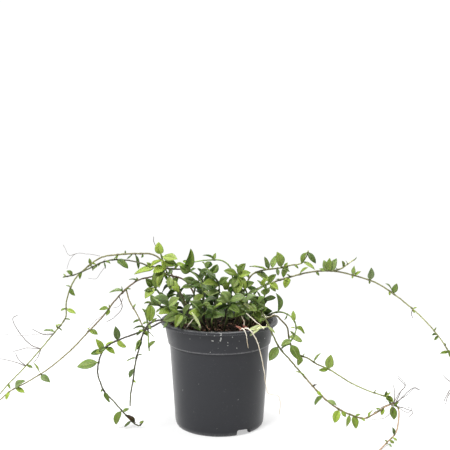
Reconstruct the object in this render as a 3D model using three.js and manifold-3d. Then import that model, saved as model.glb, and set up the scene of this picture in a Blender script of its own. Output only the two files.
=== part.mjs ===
// Potted periwinkle: an injection-moulded nursery pot full of bark compost, and a small-leaved
// evergreen ground cover whose shoots stand as a loose crown, arch out over the rim and root
// where they touch down. Millimetres, +Z up. The origin is the middle of the pot's foot, on the
// surface it stands on; +X is along the longest spread of shoots, and -Y is the pot's front.

import * as THREE from 'three';
import { mergeVertices } from 'three/addons/utils/BufferGeometryUtils.js';
import Module from 'manifold-3d';

const wasm = await Module();
wasm.setup();

// ---- Pot ----------------------------------------------------------------------------------
const POT_HEIGHT = 136;
const POT_SIDES = 36;
const LIP_RADIUS = 75;
const LIP_DEPTH = 4;
const LIP_ROUNDING = 1;
const BAND_TOP_RADIUS = 70.2;
const BAND_FOOT_RADIUS = 65.8;
const LEDGE_HEIGHT = 107;
const LEDGE_SLOPE = 1;
const WALL_TOP_RADIUS = 63.8;
const WALL_FOOT_RADIUS = 57.2;
const FOOT_RADIUS = 54.5;
const FOOT_RING_WIDTH = 4;
const FOOT_RING_SLOPE = 1.5;
const FOOT_CORNER_HEIGHT = 5;
const FOOT_CORNER_BULGE = 0.6;
const FLOOR_HEIGHT = 6;
const WALL = 1.4;
const INNER_CORNER = 1;
const DRAIN_HOLE_RADIUS = 5;
const DRAIN_HOLE_CIRCLE = 32;
const DRAIN_HOLE_COUNT = 6;
const DRAIN_HOLE_SIDES = 12;
const NOTCH_WIDTH = 20;
const NOTCH_HEIGHT = 7.5;
const NOTCH_COUNT = 3;
const NOTCH_REACH = 14;
const FIRST_NOTCH_ANGLE = 33;

// ---- Soil ---------------------------------------------------------------------------------
const SOIL_EDGE_HEIGHT = 125.5;
const SOIL_MOUND = 2;
const SOIL_CORNER = 1.2;
const GAP = 0.35;

// ---- Plant --------------------------------------------------------------------------------
const STEM_RADIUS = 1.1;
const STEM_SIDES = 4;
const STEM_STEP = 12;
const AERIAL_ROOT_RADIUS = 0.5;
const STRAND_RADIUS = 1;
const ROOT_SIDES = 4;
const ROOT_STEP = 10;
const LEAF_THICKNESS = 1.4;
const LEAF_WIDTH_RATIO = 0.5;
const LEAF_WIDEST_AT = 0.42;
const LEAF_CLEARANCE = 0.4;
const SHOOT_TIP = 0.985;
const PAIR_OPENING = 58;
const PAIR_CLOSING = 14;
const PAIR_SHORTENING = 0.35;
const FRONT_LIGHT = [0, -0.55, 0.85];
const REAR_LIGHT = [0, 0.55, 0.85];

// A leaf that would run into a neighbour swings aside, as a growing leaf does: each entry is a
// turn round the line of sight and a turn towards the front, in degrees.
const SWINGS = [
  [0, 0], [0, 25], [0, -25], [25, 0], [-25, 0], [25, 25], [-25, 25],
  [25, -25], [-25, -25], [45, 0], [-45, 0], [0, 50], [0, -50], [45, 40], [-45, 40],
];

const FINISHES = {
  pot: { color: 0x3b3d41, roughness: 0.55 },
  soil: { color: 0x2b211b, roughness: 0.95 },
  crown: { color: 0x4f7a33, roughness: 0.5 },
  trail: { color: 0x6f9a3c, roughness: 0.5 },
  dark: { color: 0x4b5a32, roughness: 0.5 },
  root: { color: 0xc9b79a, roughness: 0.8 },
};

// ---- Long shoots that arch over the rim -----------------------------------------------------
// route: points of the stem, from the soil to the tip.
// leaves: [place along the stem, length, heading seen from the front (0 right, 90 up), turn
// towards the front], in millimetres and degrees.
// branches: side stems, each with its own route and leaves. roots: thin aerial roots.
const TRAILING_SHOOTS = [
  {
    name: 'trailing_shoot_left_high_arch',
    finish: FINISHES.trail,
    route: [
      [-34, 18, 129], [-52, 20, 168], [-70, 21, 203], [-86, 21, 216], [-106, 23, 217], [-134, 27, 215],
      [-155, 29, 211], [-175, 33, 197], [-192, 36, 180], [-204, 40, 150], [-206, 42, 128],
      [-221, 46, 108], [-242, 50, 83], [-264, 54, 58], [-292, 58, 29], [-305, 59, 14], [-314, 60, 6],
    ],
    leaves: [
      [0.266, 6, -110, 5], [0.289, 21, -75, 15], [0.295, 11, -140, 20], [0.318, 5, 90, 0],
      [0.34, 7, -115, 10], [0.434, 9, 95, 10], [0.44, 6, -5, 20], [0.529, 7, 160, 10],
      [0.533, 12, -55, 15], [0.6, 8, -160, 10], [0.6, 15, -25, 5], [0.636, 9, 0, 10],
      [0.656, 7, -165, 15], [0.671, 7, -30, 20], [0.673, 7, 110, 10], [0.689, 15, 170, 5],
      [0.832, 10, -20, 15], [0.918, 8, -65, 20],
    ],
    roots: [
      [[-242, 50, 83], [-256, 49, 89], [-266, 48, 101], [-276, 48, 116], [-278, 48, 126], [-271, 48, 130]],
      [[-242, 50, 83], [-262, 49, 84], [-280, 49, 79]],
      [[-242, 50, 83], [-244, 46, 76], [-250, 43, 66]],
      [[-264, 54, 58], [-273, 52, 68], [-277, 52, 77]],
      [[-264, 54, 58], [-280, 50, 66], [-298, 48, 70]],
      [[-224, 46, 104], [-236, 45, 104], [-252, 44, 112]],
    ],
  },
  {
    name: 'trailing_shoot_left_dark',
    finish: FINISHES.dark,
    route: [
      [-20, 8, 129], [-20, 5, 160], [-22, 3, 185], [-27, 2, 192], [-36, 1, 197], [-42, -1, 200],
      [-54, -3, 201], [-66, -4, 202], [-88, -5, 205], [-99, -6, 209], [-116, -7, 213], [-133, -9, 214],
      [-147, -10, 211], [-162, -12, 204], [-184, -14, 195], [-196, -15, 193],
    ],
    leaves: [
      [0.317, 10, 30, 25], [0.405, 12, 40, 20], [0.415, 12, -135, 25], [0.477, 10, 35, 20],
      [0.5, 30, -165, 10], [0.518, 10, 140, 20], [0.709, 19, -35, 15], [0.729, 7, 40, 20],
      [0.771, 8, -15, 15], [0.776, 9, -75, 10], [0.779, 5, 55, 10], [0.786, 7, -135, 10],
      [0.81, 8, -130, 25], [0.817, 7, 160, 10], [0.841, 5, -85, 10], [0.9, 10, -105, 15],
      [0.952, 10, 140, 10], [0.985, 5, -165, 5], [0.985, 5, 135, 5],
    ],
  },
  {
    name: 'trailing_shoot_left_long',
    finish: FINISHES.trail,
    route: [
      [-28, 10, 129], [-30, 8, 159], [-38, 6, 177], [-45, 3, 186], [-60, -2, 192], [-75, -6, 195],
      [-88, -5, 191], [-103, -4, 187], [-119, -2, 175], [-135, 0, 158], [-147, 1, 142], [-170, 4, 117],
      [-194, 6, 92], [-225, 10, 66], [-255, 13, 47], [-275, 14, 36], [-291, 15, 22], [-304, 15, 10],
      [-315, 15, 4],
    ],
    leaves: [
      [0.181, 12, -125, 25], [0.223, 11, -50, 25], [0.232, 13, -135, 20], [0.307, 5, 110, 10],
      [0.307, 12, 170, 10], [0.362, 10, 20, 15], [0.365, 19, 180, 20], [0.371, 9, 95, 5],
      [0.436, 5, 100, 5], [0.438, 10, -110, 15], [0.438, 13, -175, 15], [0.536, 5, 130, 10],
      [0.536, 13, -20, 20], [0.756, 18, -35, 20], [0.756, 20, 115, 15], [0.854, 15, -20, 15],
      [0.856, 20, 40, 15], [0.876, 12, -115, 15],
    ],
    branches: [
      {
        route: [[-119, -2, 175], [-114, -7, 160], [-106, -13, 148], [-100, -18, 138], [-94, -22, 126]],
        leaves: [[0.45, 7, 60, 10], [0.75, 9, 200, 10], [0.97, 10, -60, 20]],
      },
    ],
    roots: [
      [[-128, -1, 165], [-124, -6, 152], [-134, -10, 140], [-144, -8, 134]],
    ],
  },
  {
    name: 'trailing_shoot_left_hanging_loop',
    finish: FINISHES.dark,
    route: [
      [-48, -26, 129], [-60, -29, 138], [-71, -30, 139], [-83, -30, 133], [-109, -29, 122],
      [-122, -28, 117], [-135, -28, 111], [-144, -28, 104], [-149, -27, 95], [-152, -27, 84],
      [-153, -27, 72], [-150, -26, 60], [-145, -26, 48], [-134, -26, 36], [-121, -25, 20],
      [-108, -24, 6], [-102, -24, 3], [-97, -24, 8],
    ],
    leaves: [
      [0.198, 20, 175, 20], [0.204, 15, -150, 25], [0.371, 20, 95, 10], [0.374, 15, -30, 20],
      [0.389, 13, -160, 25], [0.441, 11, -155, 20], [0.45, 15, -25, 15], [0.457, 12, -160, 15],
      [0.464, 17, -165, 5], [0.464, 19, 120, 15], [0.535, 28, -170, 10], [0.689, 5, -130, 5],
      [0.7, 16, -60, 15], [0.844, 20, -115, 10], [0.848, 10, 25, 10], [0.877, 16, -35, 15],
      [0.918, 12, -140, 15], [0.976, 7, 30, 5],
    ],
  },
  {
    name: 'trailing_shoot_left_front',
    finish: FINISHES.dark,
    route: [
      [-38, -38, 129], [-54, -44, 141], [-70, -46, 145], [-86, -46, 140], [-94, -46, 126],
      [-98, -47, 110], [-103, -47, 92], [-106, -48, 70], [-109, -49, 54], [-110, -50, 38],
    ],
    leaves: [
      [0.187, 11, -125, 25], [0.234, 12, 130, 25], [0.318, 11, 45, 25], [0.419, 8, 150, 25],
      [0.465, 18, -115, 15], [0.47, 14, -110, 20], [0.607, 7, 20, 10], [0.624, 13, -165, 15],
      [0.708, 13, -120, 10], [0.798, 5, -50, 5],
    ],
  },
  {
    name: 'trailing_shoot_left_rim_cluster',
    finish: FINISHES.trail,
    route: [
      [-56, -2, 129], [-66, -14, 148], [-76, -20, 158], [-86, -22, 160], [-92, -24, 150],
      [-90, -26, 138], [-89, -27, 127], [-88, -34, 112], [-87, -35, 103],
    ],
    leaves: [
      [0.29, 11, -155, 30], [0.345, 13, 50, 25], [0.368, 18, 120, 15], [0.438, 10, 175, 10],
      [0.448, 23, -95, 10], [0.581, 9, 125, 10], [0.669, 7, -155, 15], [0.669, 13, -55, 15],
      [0.714, 9, -115, 10], [0.777, 10, -40, 20], [0.955, 12, 45, 10],
    ],
  },
  {
    name: 'trailing_shoot_right_high_arch',
    finish: FINISHES.trail,
    route: [
      [20, 6, 129], [27, 1, 150], [37, -3, 167], [48, -3, 175], [61, -2, 181], [79, 0, 187],
      [94, 2, 191], [112, 4, 195], [128, 6, 197], [150, 9, 196], [178, 12, 189], [203, 15, 180],
      [225, 17, 166], [253, 22, 144], [271, 24, 127], [287, 27, 109], [302, 30, 88], [310, 31, 66],
      [313, 32, 40], [312, 32, 16], [309, 32, 3],
    ],
    leaves: [
      [0.128, 12, -115, 25], [0.144, 12, 125, 20], [0.169, 13, -55, 15], [0.201, 7, 170, 10],
      [0.208, 10, -25, 20], [0.228, 16, -115, 20], [0.235, 8, 155, 10], [0.259, 15, 45, 15],
      [0.308, 7, -55, 15], [0.342, 12, 165, 10], [0.342, 16, 110, 10], [0.347, 19, 90, 15],
      [0.352, 20, 70, 20], [0.417, 5, -90, 5], [0.42, 13, 85, 5], [0.423, 11, 35, 15],
      [0.472, 5, -95, 5], [0.475, 18, 90, 10], [0.541, 6, -85, 5], [0.552, 18, 125, 15],
      [0.556, 15, 75, 10], [0.634, 6, -70, 10], [0.634, 6, 25, 10], [0.731, 6, 65, 10],
      [0.748, 8, 180, 10], [0.751, 8, -130, 5], [0.792, 5, 105, 5], [0.803, 10, -75, 15],
      [0.814, 12, -175, 10],
    ],
    branches: [
      {
        route: [[143, 8, 196.5], [156, 11, 199], [165, 12, 205], [174, 12, 211]],
        leaves: [[0.3, 7, 150, 20], [0.5, 9, 100, 10], [0.7, 7, 120, 30], [0.97, 6, 50, 10]],
      },
    ],
    roots: [
      [[253, 22, 144], [251, 21, 138], [252, 20, 132]],
      [[313, 32, 40], [304, 31, 46], [298, 31, 52]],
      [[313, 32, 36], [306, 31, 28], [300, 30, 16]],
      [[312, 32, 30], [307, 36, 22], [304, 38, 10]],
    ],
  },
  {
    name: 'trailing_shoot_right_upper',
    finish: FINISHES.trail,
    route: [
      [26, 22, 129], [31, 19, 165], [42, 17, 190], [60, 16, 197], [78, 18, 199], [92, 21, 202],
      [106, 24, 204], [113, 25, 212], [116, 26, 221],
    ],
    leaves: [
      [0.287, 11, 40, 20], [0.387, 12, 130, 10], [0.462, 23, -30, 20], [0.513, 13, -55, 25],
      [0.558, 24, 165, 15], [0.582, 19, 110, 15], [0.606, 19, 70, -10], [0.649, 10, -80, 20],
      [0.687, 24, 105, 15], [0.692, 12, -25, 20], [0.712, 8, 50, 10], [0.751, 17, -115, 15],
      [0.804, 8, -40, 10], [0.884, 21, -30, 15], [0.985, 19, -120, 15], [0.985, 19, -55, 15],
    ],
  },
  {
    name: 'trailing_shoot_right_middle',
    finish: FINISHES.trail,
    route: [
      [50, -14, 129], [59, -17, 139], [71, -18, 144], [79, -16, 137], [86, -12, 128], [88, -8, 118],
      [90, -5, 107], [95, -2, 95], [104, 0, 88], [114, 0, 84], [127, -1, 76], [140, -3, 71],
      [155, -5, 62], [168, -6, 54], [181, -8, 48], [196, -9, 42], [209, -10, 38], [216, -11, 36],
    ],
    leaves: [
      [0.292, 18, -20, 20], [0.341, 24, -60, 20], [0.445, 14, -110, 15], [0.457, 5, 55, 5],
      [0.528, 16, 55, 10], [0.623, 14, -180, 15], [0.627, 21, 85, 10], [0.918, 5, 50, 5],
      [0.97, 13, -25, 20], [0.982, 8, 75, 10], [0.985, 10, 50, 20], [0.985, 13, -35, 20],
    ],
  },
  {
    name: 'trailing_shoot_right_rooting',
    finish: FINISHES.trail,
    route: [
      [36, -20, 129], [47, -30, 156], [52, -39, 155], [56, -46, 147], [61, -50, 138], [67, -48, 124],
      [73, -38, 111], [79, -35, 102], [86, -34, 94], [97, -33, 81], [109, -33, 67], [121, -33, 53],
      [134, -34, 40], [149, -35, 29], [164, -36, 22], [182, -36, 17], [197, -33, 23], [212, -27, 30],
      [221, -25, 32], [226, -28, 27], [223, -44, 16], [216, -62, 8], [204, -78, 4], [194, -92, 2],
      [187, -104, 2],
    ],
    leaves: [
      [0.111, 11, 45, 20], [0.141, 10, -165, 30], [0.251, 22, -125, 20], [0.269, 14, 40, 25],
      [0.389, 15, 145, 15], [0.43, 6, 25, 5], [0.446, 11, -45, 20], [0.475, 15, -140, 25],
      [0.492, 16, -25, 10], [0.544, 18, -110, 10], [0.552, 10, -55, 10], [0.58, 16, -105, 15],
      [0.59, 17, -75, 20], [0.599, 8, 25, 10], [0.616, 8, -35, 10], [0.643, 12, 65, 15],
      [0.68, 7, -155, 10], [0.693, 8, 165, 15], [0.705, 10, -110, 15], [0.729, 7, 110, 20],
      [0.736, 19, -80, 10], [0.743, 9, 45, 20], [0.746, 8, -20, 20], [0.88, 11, 105, 10],
      [0.896, 8, -30, 15], [0.914, 7, -75, 10], [0.928, 5, 140, 5], [0.935, 9, -25, 25],
    ],
    roots: [
      [[221, -26, 30], [230, -21, 46], [236, -18, 53], [227, -18, 63]],
      [[221, -26, 30], [233, -25, 42], [246, -26, 53], [253, -28, 51]],
      [[221, -26, 30], [235, -27, 26], [244, -31, 23], [238, -35, 18]],
      [[221, -26, 30], [216, -12, 26], [204, -2, 16]],
      [[221, -26, 30], [224, -14, 44], [223, -12, 52]],
    ],
  },
  {
    name: 'trailing_shoot_right_rim',
    finish: FINISHES.trail,
    route: [
      [50, -2, 129], [60, -6, 140], [71, -12, 147], [82, -20, 148], [92, -26, 142], [96, -29, 131],
      [93, -31, 121], [89, -31, 114],
    ],
    leaves: [
      [0.209, 13, -130, 30], [0.372, 27, 95, 12], [0.542, 8, -120, 15], [0.689, 15, 95, 10],
      [0.765, 15, -35, 15], [0.792, 6, 170, 15], [0.883, 8, 140, 20], [0.931, 14, -20, 15],
      [0.963, 17, -155, 25],
    ],
  },
];

// ---- Shoots that hang behind the pot --------------------------------------------------------
// pairs: opposite pairs of leaves, each pair turned a quarter round the stem from the last.
const REAR_SHOOTS = [
  {
    name: 'rear_shoot_left',
    route: [
      [-26, 34, 129], [-36, 56, 144], [-42, 74, 143], [-45, 88, 118], [-44, 93, 80], [-40, 94, 42],
      [-30, 93, 10], [-14, 92, 3], [4, 92, 3],
    ],
    pairs: { from: 0.2, to: 0.9, count: 6, longest: 18, roll: 20 },
  },
  {
    name: 'rear_shoot_middle',
    route: [[4, 40, 129], [6, 62, 147], [7, 78, 146], [8, 90, 124], [9, 94, 90], [12, 94, 58], [16, 92, 34]],
    pairs: { from: 0.22, to: 0.96, count: 5, longest: 17, roll: 70 },
  },
  {
    name: 'rear_shoot_right',
    route: [
      [30, 32, 129], [38, 54, 142], [45, 72, 142], [48, 85, 120], [46, 92, 86], [44, 93, 50],
      [40, 92, 20], [36, 88, 5], [30, 78, 3],
    ],
    pairs: { from: 0.2, to: 0.92, count: 6, longest: 18, roll: 0 },
  },
];

// ---- Upright shoots of the crown --------------------------------------------------------------
const CROWN_SHOOTS = [
  {
    name: 'crown_shoot_left_tall',
    route: [[-36, -4, 129], [-46, -6, 158], [-60, -8, 186], [-69, -8, 204], [-74, -8, 222]],
    leaves: [
      [0.476, 15, -160, 20], [0.569, 20, -150, 30], [0.635, 21, -55, 25], [0.695, 21, -80, 30],
      [0.745, 25, -120, 30], [0.785, 29, -120, 15], [0.805, 18, -165, 30], [0.87, 18, -5, 10],
      [0.907, 18, -155, 20], [0.926, 18, -80, 40], [0.954, 23, -5, 25], [0.985, 17, 100, 5],
    ],
  },
  {
    name: 'crown_shoot_left_inner',
    route: [
      [-14, -10, 129], [-20, -18, 164], [-22, -20, 186], [-28, -21, 195], [-35, -22, 201],
      [-41, -22, 204],
    ],
    leaves: [
      [0.426, 19, -50, 40], [0.517, 18, -130, 35], [0.556, 18, -35, 35], [0.673, 17, -30, 20],
      [0.698, 15, -165, 20], [0.794, 17, 40, 15], [0.921, 17, 150, 10], [0.985, 28, 80, 10],
      [0.985, 17, 145, 15],
    ],
  },
  {
    name: 'crown_shoot_left_dark_leaves',
    route: [[-26, -2, 129], [-31, -6, 154], [-32, -8, 169], [-30, -9, 179], [-26, -9, 187]],
    leaves: [
      [0.429, 18, -40, 30], [0.467, 17, -150, 30], [0.605, 16, -50, 30], [0.668, 16, -160, 25],
      [0.766, 16, -40, 30], [0.809, 19, 170, 20], [0.859, 14, -5, 25], [0.941, 21, 160, 15],
      [0.985, 13, 50, 10],
    ],
  },
  {
    name: 'crown_shoot_arching_tip',
    route: [
      [10, 6, 129], [14, 6, 160], [17, 6, 188], [13, 7, 203], [4, 8, 210], [-8, 9, 211],
      [-28, 10, 209], [-40, 10, 206],
    ],
    leaves: [
      [0.314, 19, 145, 10], [0.335, 17, 35, -10], [0.743, 17, 155, 10], [0.747, 10, 75, 10],
      [0.985, 10, 160, 5],
    ],
  },
  {
    name: 'crown_shoot_middle_front',
    route: [[-4, -24, 129], [-6, -32, 152], [-3, -38, 168], [0, -40, 181], [0, -40, 189]],
    leaves: [
      [0.455, 18, -35, 35], [0.551, 19, -145, 35], [0.66, 18, -25, 35], [0.703, 20, -170, 35],
      [0.831, 17, -25, 30], [0.874, 17, -155, 40], [0.956, 24, 165, 30], [0.985, 28, 135, 20],
      [0.985, 16, 40, 15],
    ],
  },
  {
    name: 'crown_shoot_middle_thin',
    route: [[2, -4, 129], [8, -6, 146], [12, -8, 162], [12, -8, 175], [8, -8, 187]],
    leaves: [
      [0.397, 16, 165, 25], [0.507, 16, 15, 25], [0.618, 15, 155, 20], [0.704, 15, 40, 20],
      [0.791, 18, 120, 10], [0.853, 15, 60, 15],
    ],
  },
  {
    name: 'crown_shoot_right_cluster',
    route: [[34, -16, 129], [35, -20, 157], [35, -22, 171], [30, -24, 184], [23, -24, 198]],
    leaves: [
      [0.559, 17, -145, 30], [0.598, 16, 25, 15], [0.695, 18, -145, 30], [0.794, 15, 15, 10],
      [0.87, 20, -110, 30], [0.957, 18, -120, 25], [0.978, 19, 60, 0], [0.978, 21, -60, 25],
      [0.985, 20, 160, 15], [0.985, 18, 15, 25], [0.985, 19, 105, 35],
    ],
  },
  {
    name: 'crown_shoot_right',
    route: [[34, -14, 129], [39, -12, 155], [46, -12, 173], [54, -13, 180], [63, -14, 186]],
    leaves: [
      [0.394, 16, 145, -10], [0.437, 19, -45, 30], [0.537, 13, 5, 10], [0.594, 22, -50, 20],
      [0.688, 16, 145, 15], [0.847, 14, 65, 10], [0.984, 16, -35, 10], [0.985, 15, 50, 10],
    ],
  },
  {
    name: 'crown_shoot_right_low',
    route: [[40, -26, 129], [39, -34, 147], [44, -38, 158], [48, -40, 164]],
    leaves: [
      [0.669, 18, 0, 10], [0.717, 19, -55, 30], [0.765, 22, 170, 25],
      [0.916, 16, 50, 15], [0.985, 15, 150, 20],
    ],
  },
  {
    name: 'crown_shoot_front_pale',
    route: [[-14, -36, 129], [-21, -46, 143], [-23, -52, 154], [-24, -54, 162]],
    leaves: [
      [0.614, 19, -165, 40], [0.694, 18, 40, 40], [0.79, 19, 165, 40],
      [0.853, 25, 125, 35], [0.853, 23, 60, 40],
    ],
  },
  {
    name: 'crown_shoot_left_front_rim',
    route: [[-26, -34, 129], [-36, -46, 145], [-45, -54, 154], [-50, -58, 156]],
    leaves: [
      [0.431, 20, -35, 45], [0.524, 18, 45, 35], [0.626, 18, -125, 45], [0.78, 19, 60, 20],
      [0.848, 21, -120, 45], [0.954, 17, 140, 20], [0.985, 21, -160, 25],
    ],
  },
  {
    name: 'crown_shoot_left_rim_low',
    route: [[-44, -24, 129], [-54, -34, 145], [-61, -38, 154], [-63, -38, 161]],
    leaves: [
      [0.472, 19, -10, 40], [0.613, 17, 40, 25], [0.703, 19, -120, 45], [0.806, 18, 50, 20],
      [0.83, 17, -170, 25], [0.893, 20, 135, 20], [0.937, 25, 145, 15], [0.985, 19, 40, 15],
    ],
  },
  {
    name: 'crown_shoot_front_low_left',
    route: [[-6, -42, 129], [-9, -54, 144], [-7, -60, 156], [-7, -61, 161]],
    leaves: [
      [0.813, 19, 10, 40], [0.848, 18, -175, 35], [0.96, 19, 130, 30], [0.96, 19, 45, 35],
    ],
  },
  {
    name: 'crown_shoot_front_low_middle',
    route: [[6, -38, 129], [10, -48, 150], [12, -53, 163], [13, -54, 172]],
    leaves: [
      [0.67, 13, -45, 45], [0.825, 19, -170, 35], [0.825, 20, -25, 40],
      [0.912, 19, 120, 15], [0.985, 19, 175, 25], [0.985, 19, 15, 20],
    ],
  },
  {
    name: 'crown_shoot_front_low_right',
    route: [[24, -34, 129], [29, -44, 151], [33, -48, 163], [33, -48, 168]],
    leaves: [
      [0.636, 13, -50, 45], [0.667, 17, -165, 40], [0.806, 18, -5, 35], [0.907, 19, 130, 20],
      [0.936, 19, 180, 25], [0.965, 17, 40, 15],
    ],
  },
  {
    name: 'crown_shoot_left_side',
    route: [[-58, 12, 129], [-66, 8, 150], [-76, 6, 166], [-84, 5, 178]],
    leaves: [
      [0.406, 14, -165, 20], [0.541, 18, 40, 20], [0.625, 19, -160, 25], [0.807, 17, -25, 25],
      [0.859, 18, 175, 20], [0.974, 20, -130, 25], [0.985, 16, 135, 15],
    ],
  },
  {
    name: 'crown_shoot_back_left',
    route: [[-38, 28, 129], [-50, 38, 150], [-60, 45, 172]],
    pairs: { from: 0.3, to: 0.97, count: 5, longest: 22, roll: 10 },
    rear: true,
  },
  {
    name: 'crown_shoot_back_middle',
    route: [[-14, 24, 129], [-16, 38, 155], [-18, 46, 182], [-18, 48, 194]],
    pairs: { from: 0.25, to: 0.97, count: 6, longest: 23, roll: 35 },
    rear: true,
  },
  {
    name: 'crown_shoot_back_right',
    route: [[14, 28, 129], [20, 42, 152], [25, 50, 176]],
    pairs: { from: 0.3, to: 0.97, count: 5, longest: 22, roll: 60 },
    rear: true,
  },
  {
    name: 'crown_shoot_right_side',
    route: [[44, 16, 129], [54, 24, 148], [62, 30, 168]],
    pairs: { from: 0.3, to: 0.97, count: 5, longest: 21, roll: 0 },
    rear: true,
  },
  {
    name: 'crown_shoot_centre',
    route: [[-4, 2, 129], [-6, 4, 155], [-8, 6, 182], [-10, 4, 196]],
    pairs: { from: 0.3, to: 0.97, count: 5, longest: 22, roll: 20 },
  },
];

// ---- Bare root strands that hang over the rim ---------------------------------------------------
const ROOT_STRANDS = [
  {
    name: 'root_strand_long',
    route: [
      [28, -57, 129], [31, -62, 138.5], [35.5, -68.5, 139], [41, -67, 133], [47, -62, 119], [51, -59, 103],
      [55, -56, 83], [58, -53, 62], [61, -50, 53], [73, -48, 50], [76, -46, 40], [75, -46, 26],
    ],
  },
  {
    name: 'root_strand_short',
    route: [[23, -59, 129], [27, -65, 138.5], [30.5, -72, 138.5], [33, -72, 128], [35, -70, 116]],
  },
  {
    name: 'root_strand_pale_loop',
    route: [[-44, -46, 129], [-38, -54, 140], [-30, -60, 150], [-26, -63, 146], [-23, -65, 139.5]],
  },
];

/** Merges a geometry's shared points and makes it a solid whose faces point out. */
function toSolid(geometry) {
  const bare = geometry.clone();
  bare.deleteAttribute('normal');
  bare.deleteAttribute('uv');
  const merged = mergeVertices(bare, 1e-3);
  const vertProperties = new Float32Array(merged.attributes.position.array);
  const triVerts = new Uint32Array(merged.index.array);
  if (signedVolume(vertProperties, triVerts) < 0) {
    flipFaces(triVerts);
  }
  return new wasm.Manifold(new wasm.Mesh({ numProp: 3, vertProperties, triVerts }));
}

/** Volume inside a triangle mesh: negative where its faces point in. */
function signedVolume(points, triangles) {
  const a = new THREE.Vector3();
  const b = new THREE.Vector3();
  const c = new THREE.Vector3();
  let volume = 0;
  for (let i = 0; i < triangles.length; i += 3) {
    a.fromArray(points, triangles[i] * 3);
    b.fromArray(points, triangles[i + 1] * 3);
    c.fromArray(points, triangles[i + 2] * 3);
    volume += a.dot(b.cross(c)) / 6;
  }
  return volume;
}

/** Turns every triangle over. */
function flipFaces(triangles) {
  for (let i = 0; i < triangles.length; i += 3) {
    [triangles[i + 1], triangles[i + 2]] = [triangles[i + 2], triangles[i + 1]];
  }
}

/** Turns a solid into a named mesh with its own material. */
function toMesh(name, solid, finish) {
  const { vertProperties, triVerts } = solid.getMesh();
  const geometry = new THREE.BufferGeometry();
  geometry.setAttribute('position', new THREE.BufferAttribute(new Float32Array(vertProperties), 3));
  geometry.setIndex(new THREE.BufferAttribute(new Uint32Array(triVerts), 1));
  geometry.computeVertexNormals();
  const material = new THREE.MeshStandardMaterial({ ...finish, metalness: 0 });
  const mesh = new THREE.Mesh(geometry, material);
  mesh.name = name;
  return mesh;
}

/** A solid turned about the vertical axis from its [radius, height] outline. */
function turned(outline) {
  const points = outline.map(([radius, height]) => new THREE.Vector2(radius, height));
  const geometry = new THREE.LatheGeometry(points, POT_SIDES);
  geometry.rotateX(Math.PI / 2);
  return toSolid(geometry);
}

/** The pot's shell: foot ring, tapered wall, ledge, wide band and rolled lip. */
function potShell() {
  const ringInside = FOOT_RADIUS - FOOT_RING_WIDTH;
  const lipBottom = POT_HEIGHT - LIP_DEPTH;
  const floorTop = FLOOR_HEIGHT + WALL;
  return turned([
    [0, FLOOR_HEIGHT],
    [ringInside - FOOT_RING_SLOPE, FLOOR_HEIGHT],
    [ringInside, 0],
    [FOOT_RADIUS, 0],
    [WALL_FOOT_RADIUS - FOOT_CORNER_BULGE, FOOT_CORNER_HEIGHT / 2],
    [WALL_FOOT_RADIUS, FOOT_CORNER_HEIGHT],
    [WALL_TOP_RADIUS, LEDGE_HEIGHT - LEDGE_SLOPE],
    [BAND_FOOT_RADIUS, LEDGE_HEIGHT],
    [BAND_TOP_RADIUS, lipBottom],
    [LIP_RADIUS - LIP_ROUNDING, lipBottom],
    [LIP_RADIUS, lipBottom + LIP_ROUNDING],
    [LIP_RADIUS, POT_HEIGHT - LIP_ROUNDING],
    [LIP_RADIUS - LIP_ROUNDING, POT_HEIGHT],
    [BAND_TOP_RADIUS - WALL + LIP_ROUNDING, POT_HEIGHT],
    [BAND_TOP_RADIUS - WALL, POT_HEIGHT - LIP_ROUNDING],
    [BAND_FOOT_RADIUS - WALL, LEDGE_HEIGHT],
    [WALL_TOP_RADIUS - WALL, LEDGE_HEIGHT - LEDGE_SLOPE],
    [WALL_FOOT_RADIUS - WALL, floorTop + INNER_CORNER],
    [WALL_FOOT_RADIUS - WALL - INNER_CORNER, floorTop],
    [0, floorTop],
  ]);
}

/** A round cutter through the pot's floor. */
function drainHole(radius, angle) {
  const depth = 6 * WALL;
  const geometry = new THREE.CylinderGeometry(DRAIN_HOLE_RADIUS, DRAIN_HOLE_RADIUS, depth, DRAIN_HOLE_SIDES);
  geometry.rotateX(Math.PI / 2);
  geometry.translate(radius * Math.cos(angle), radius * Math.sin(angle), FLOOR_HEIGHT);
  return toSolid(geometry);
}

/** A cutter for one drainage notch, open at the foot, its top corners worn uneven. */
function drainNotch(angle) {
  const half = NOTCH_WIDTH / 2;
  const outline = new THREE.Shape();
  outline.moveTo(-half, -1);
  outline.lineTo(half, -1);
  outline.lineTo(half - 0.5, NOTCH_HEIGHT - 2.6);
  outline.lineTo(half - 3, NOTCH_HEIGHT - 1.2);
  outline.lineTo(-half + 2, NOTCH_HEIGHT);
  outline.lineTo(-half, NOTCH_HEIGHT - 1.5);
  const geometry = new THREE.ExtrudeGeometry(outline, { depth: NOTCH_REACH, bevelEnabled: false });
  geometry.rotateX(Math.PI / 2);
  geometry.translate(0, -FOOT_RADIUS + FOOT_RING_WIDTH + FOOT_RING_SLOPE, 0);
  geometry.rotateZ(angle);
  return toSolid(geometry);
}

/** The nursery pot. */
function makePot() {
  let pot = potShell();
  pot = pot.subtract(drainHole(0, 0));
  for (let i = 0; i < DRAIN_HOLE_COUNT; i += 1) {
    pot = pot.subtract(drainHole(DRAIN_HOLE_CIRCLE, (i * 2 * Math.PI) / DRAIN_HOLE_COUNT));
  }
  for (let i = 0; i < NOTCH_COUNT; i += 1) {
    const turn = THREE.MathUtils.degToRad(FIRST_NOTCH_ANGLE) + (i * 2 * Math.PI) / NOTCH_COUNT;
    pot = pot.subtract(drainNotch(turn));
  }
  return pot;
}

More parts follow.
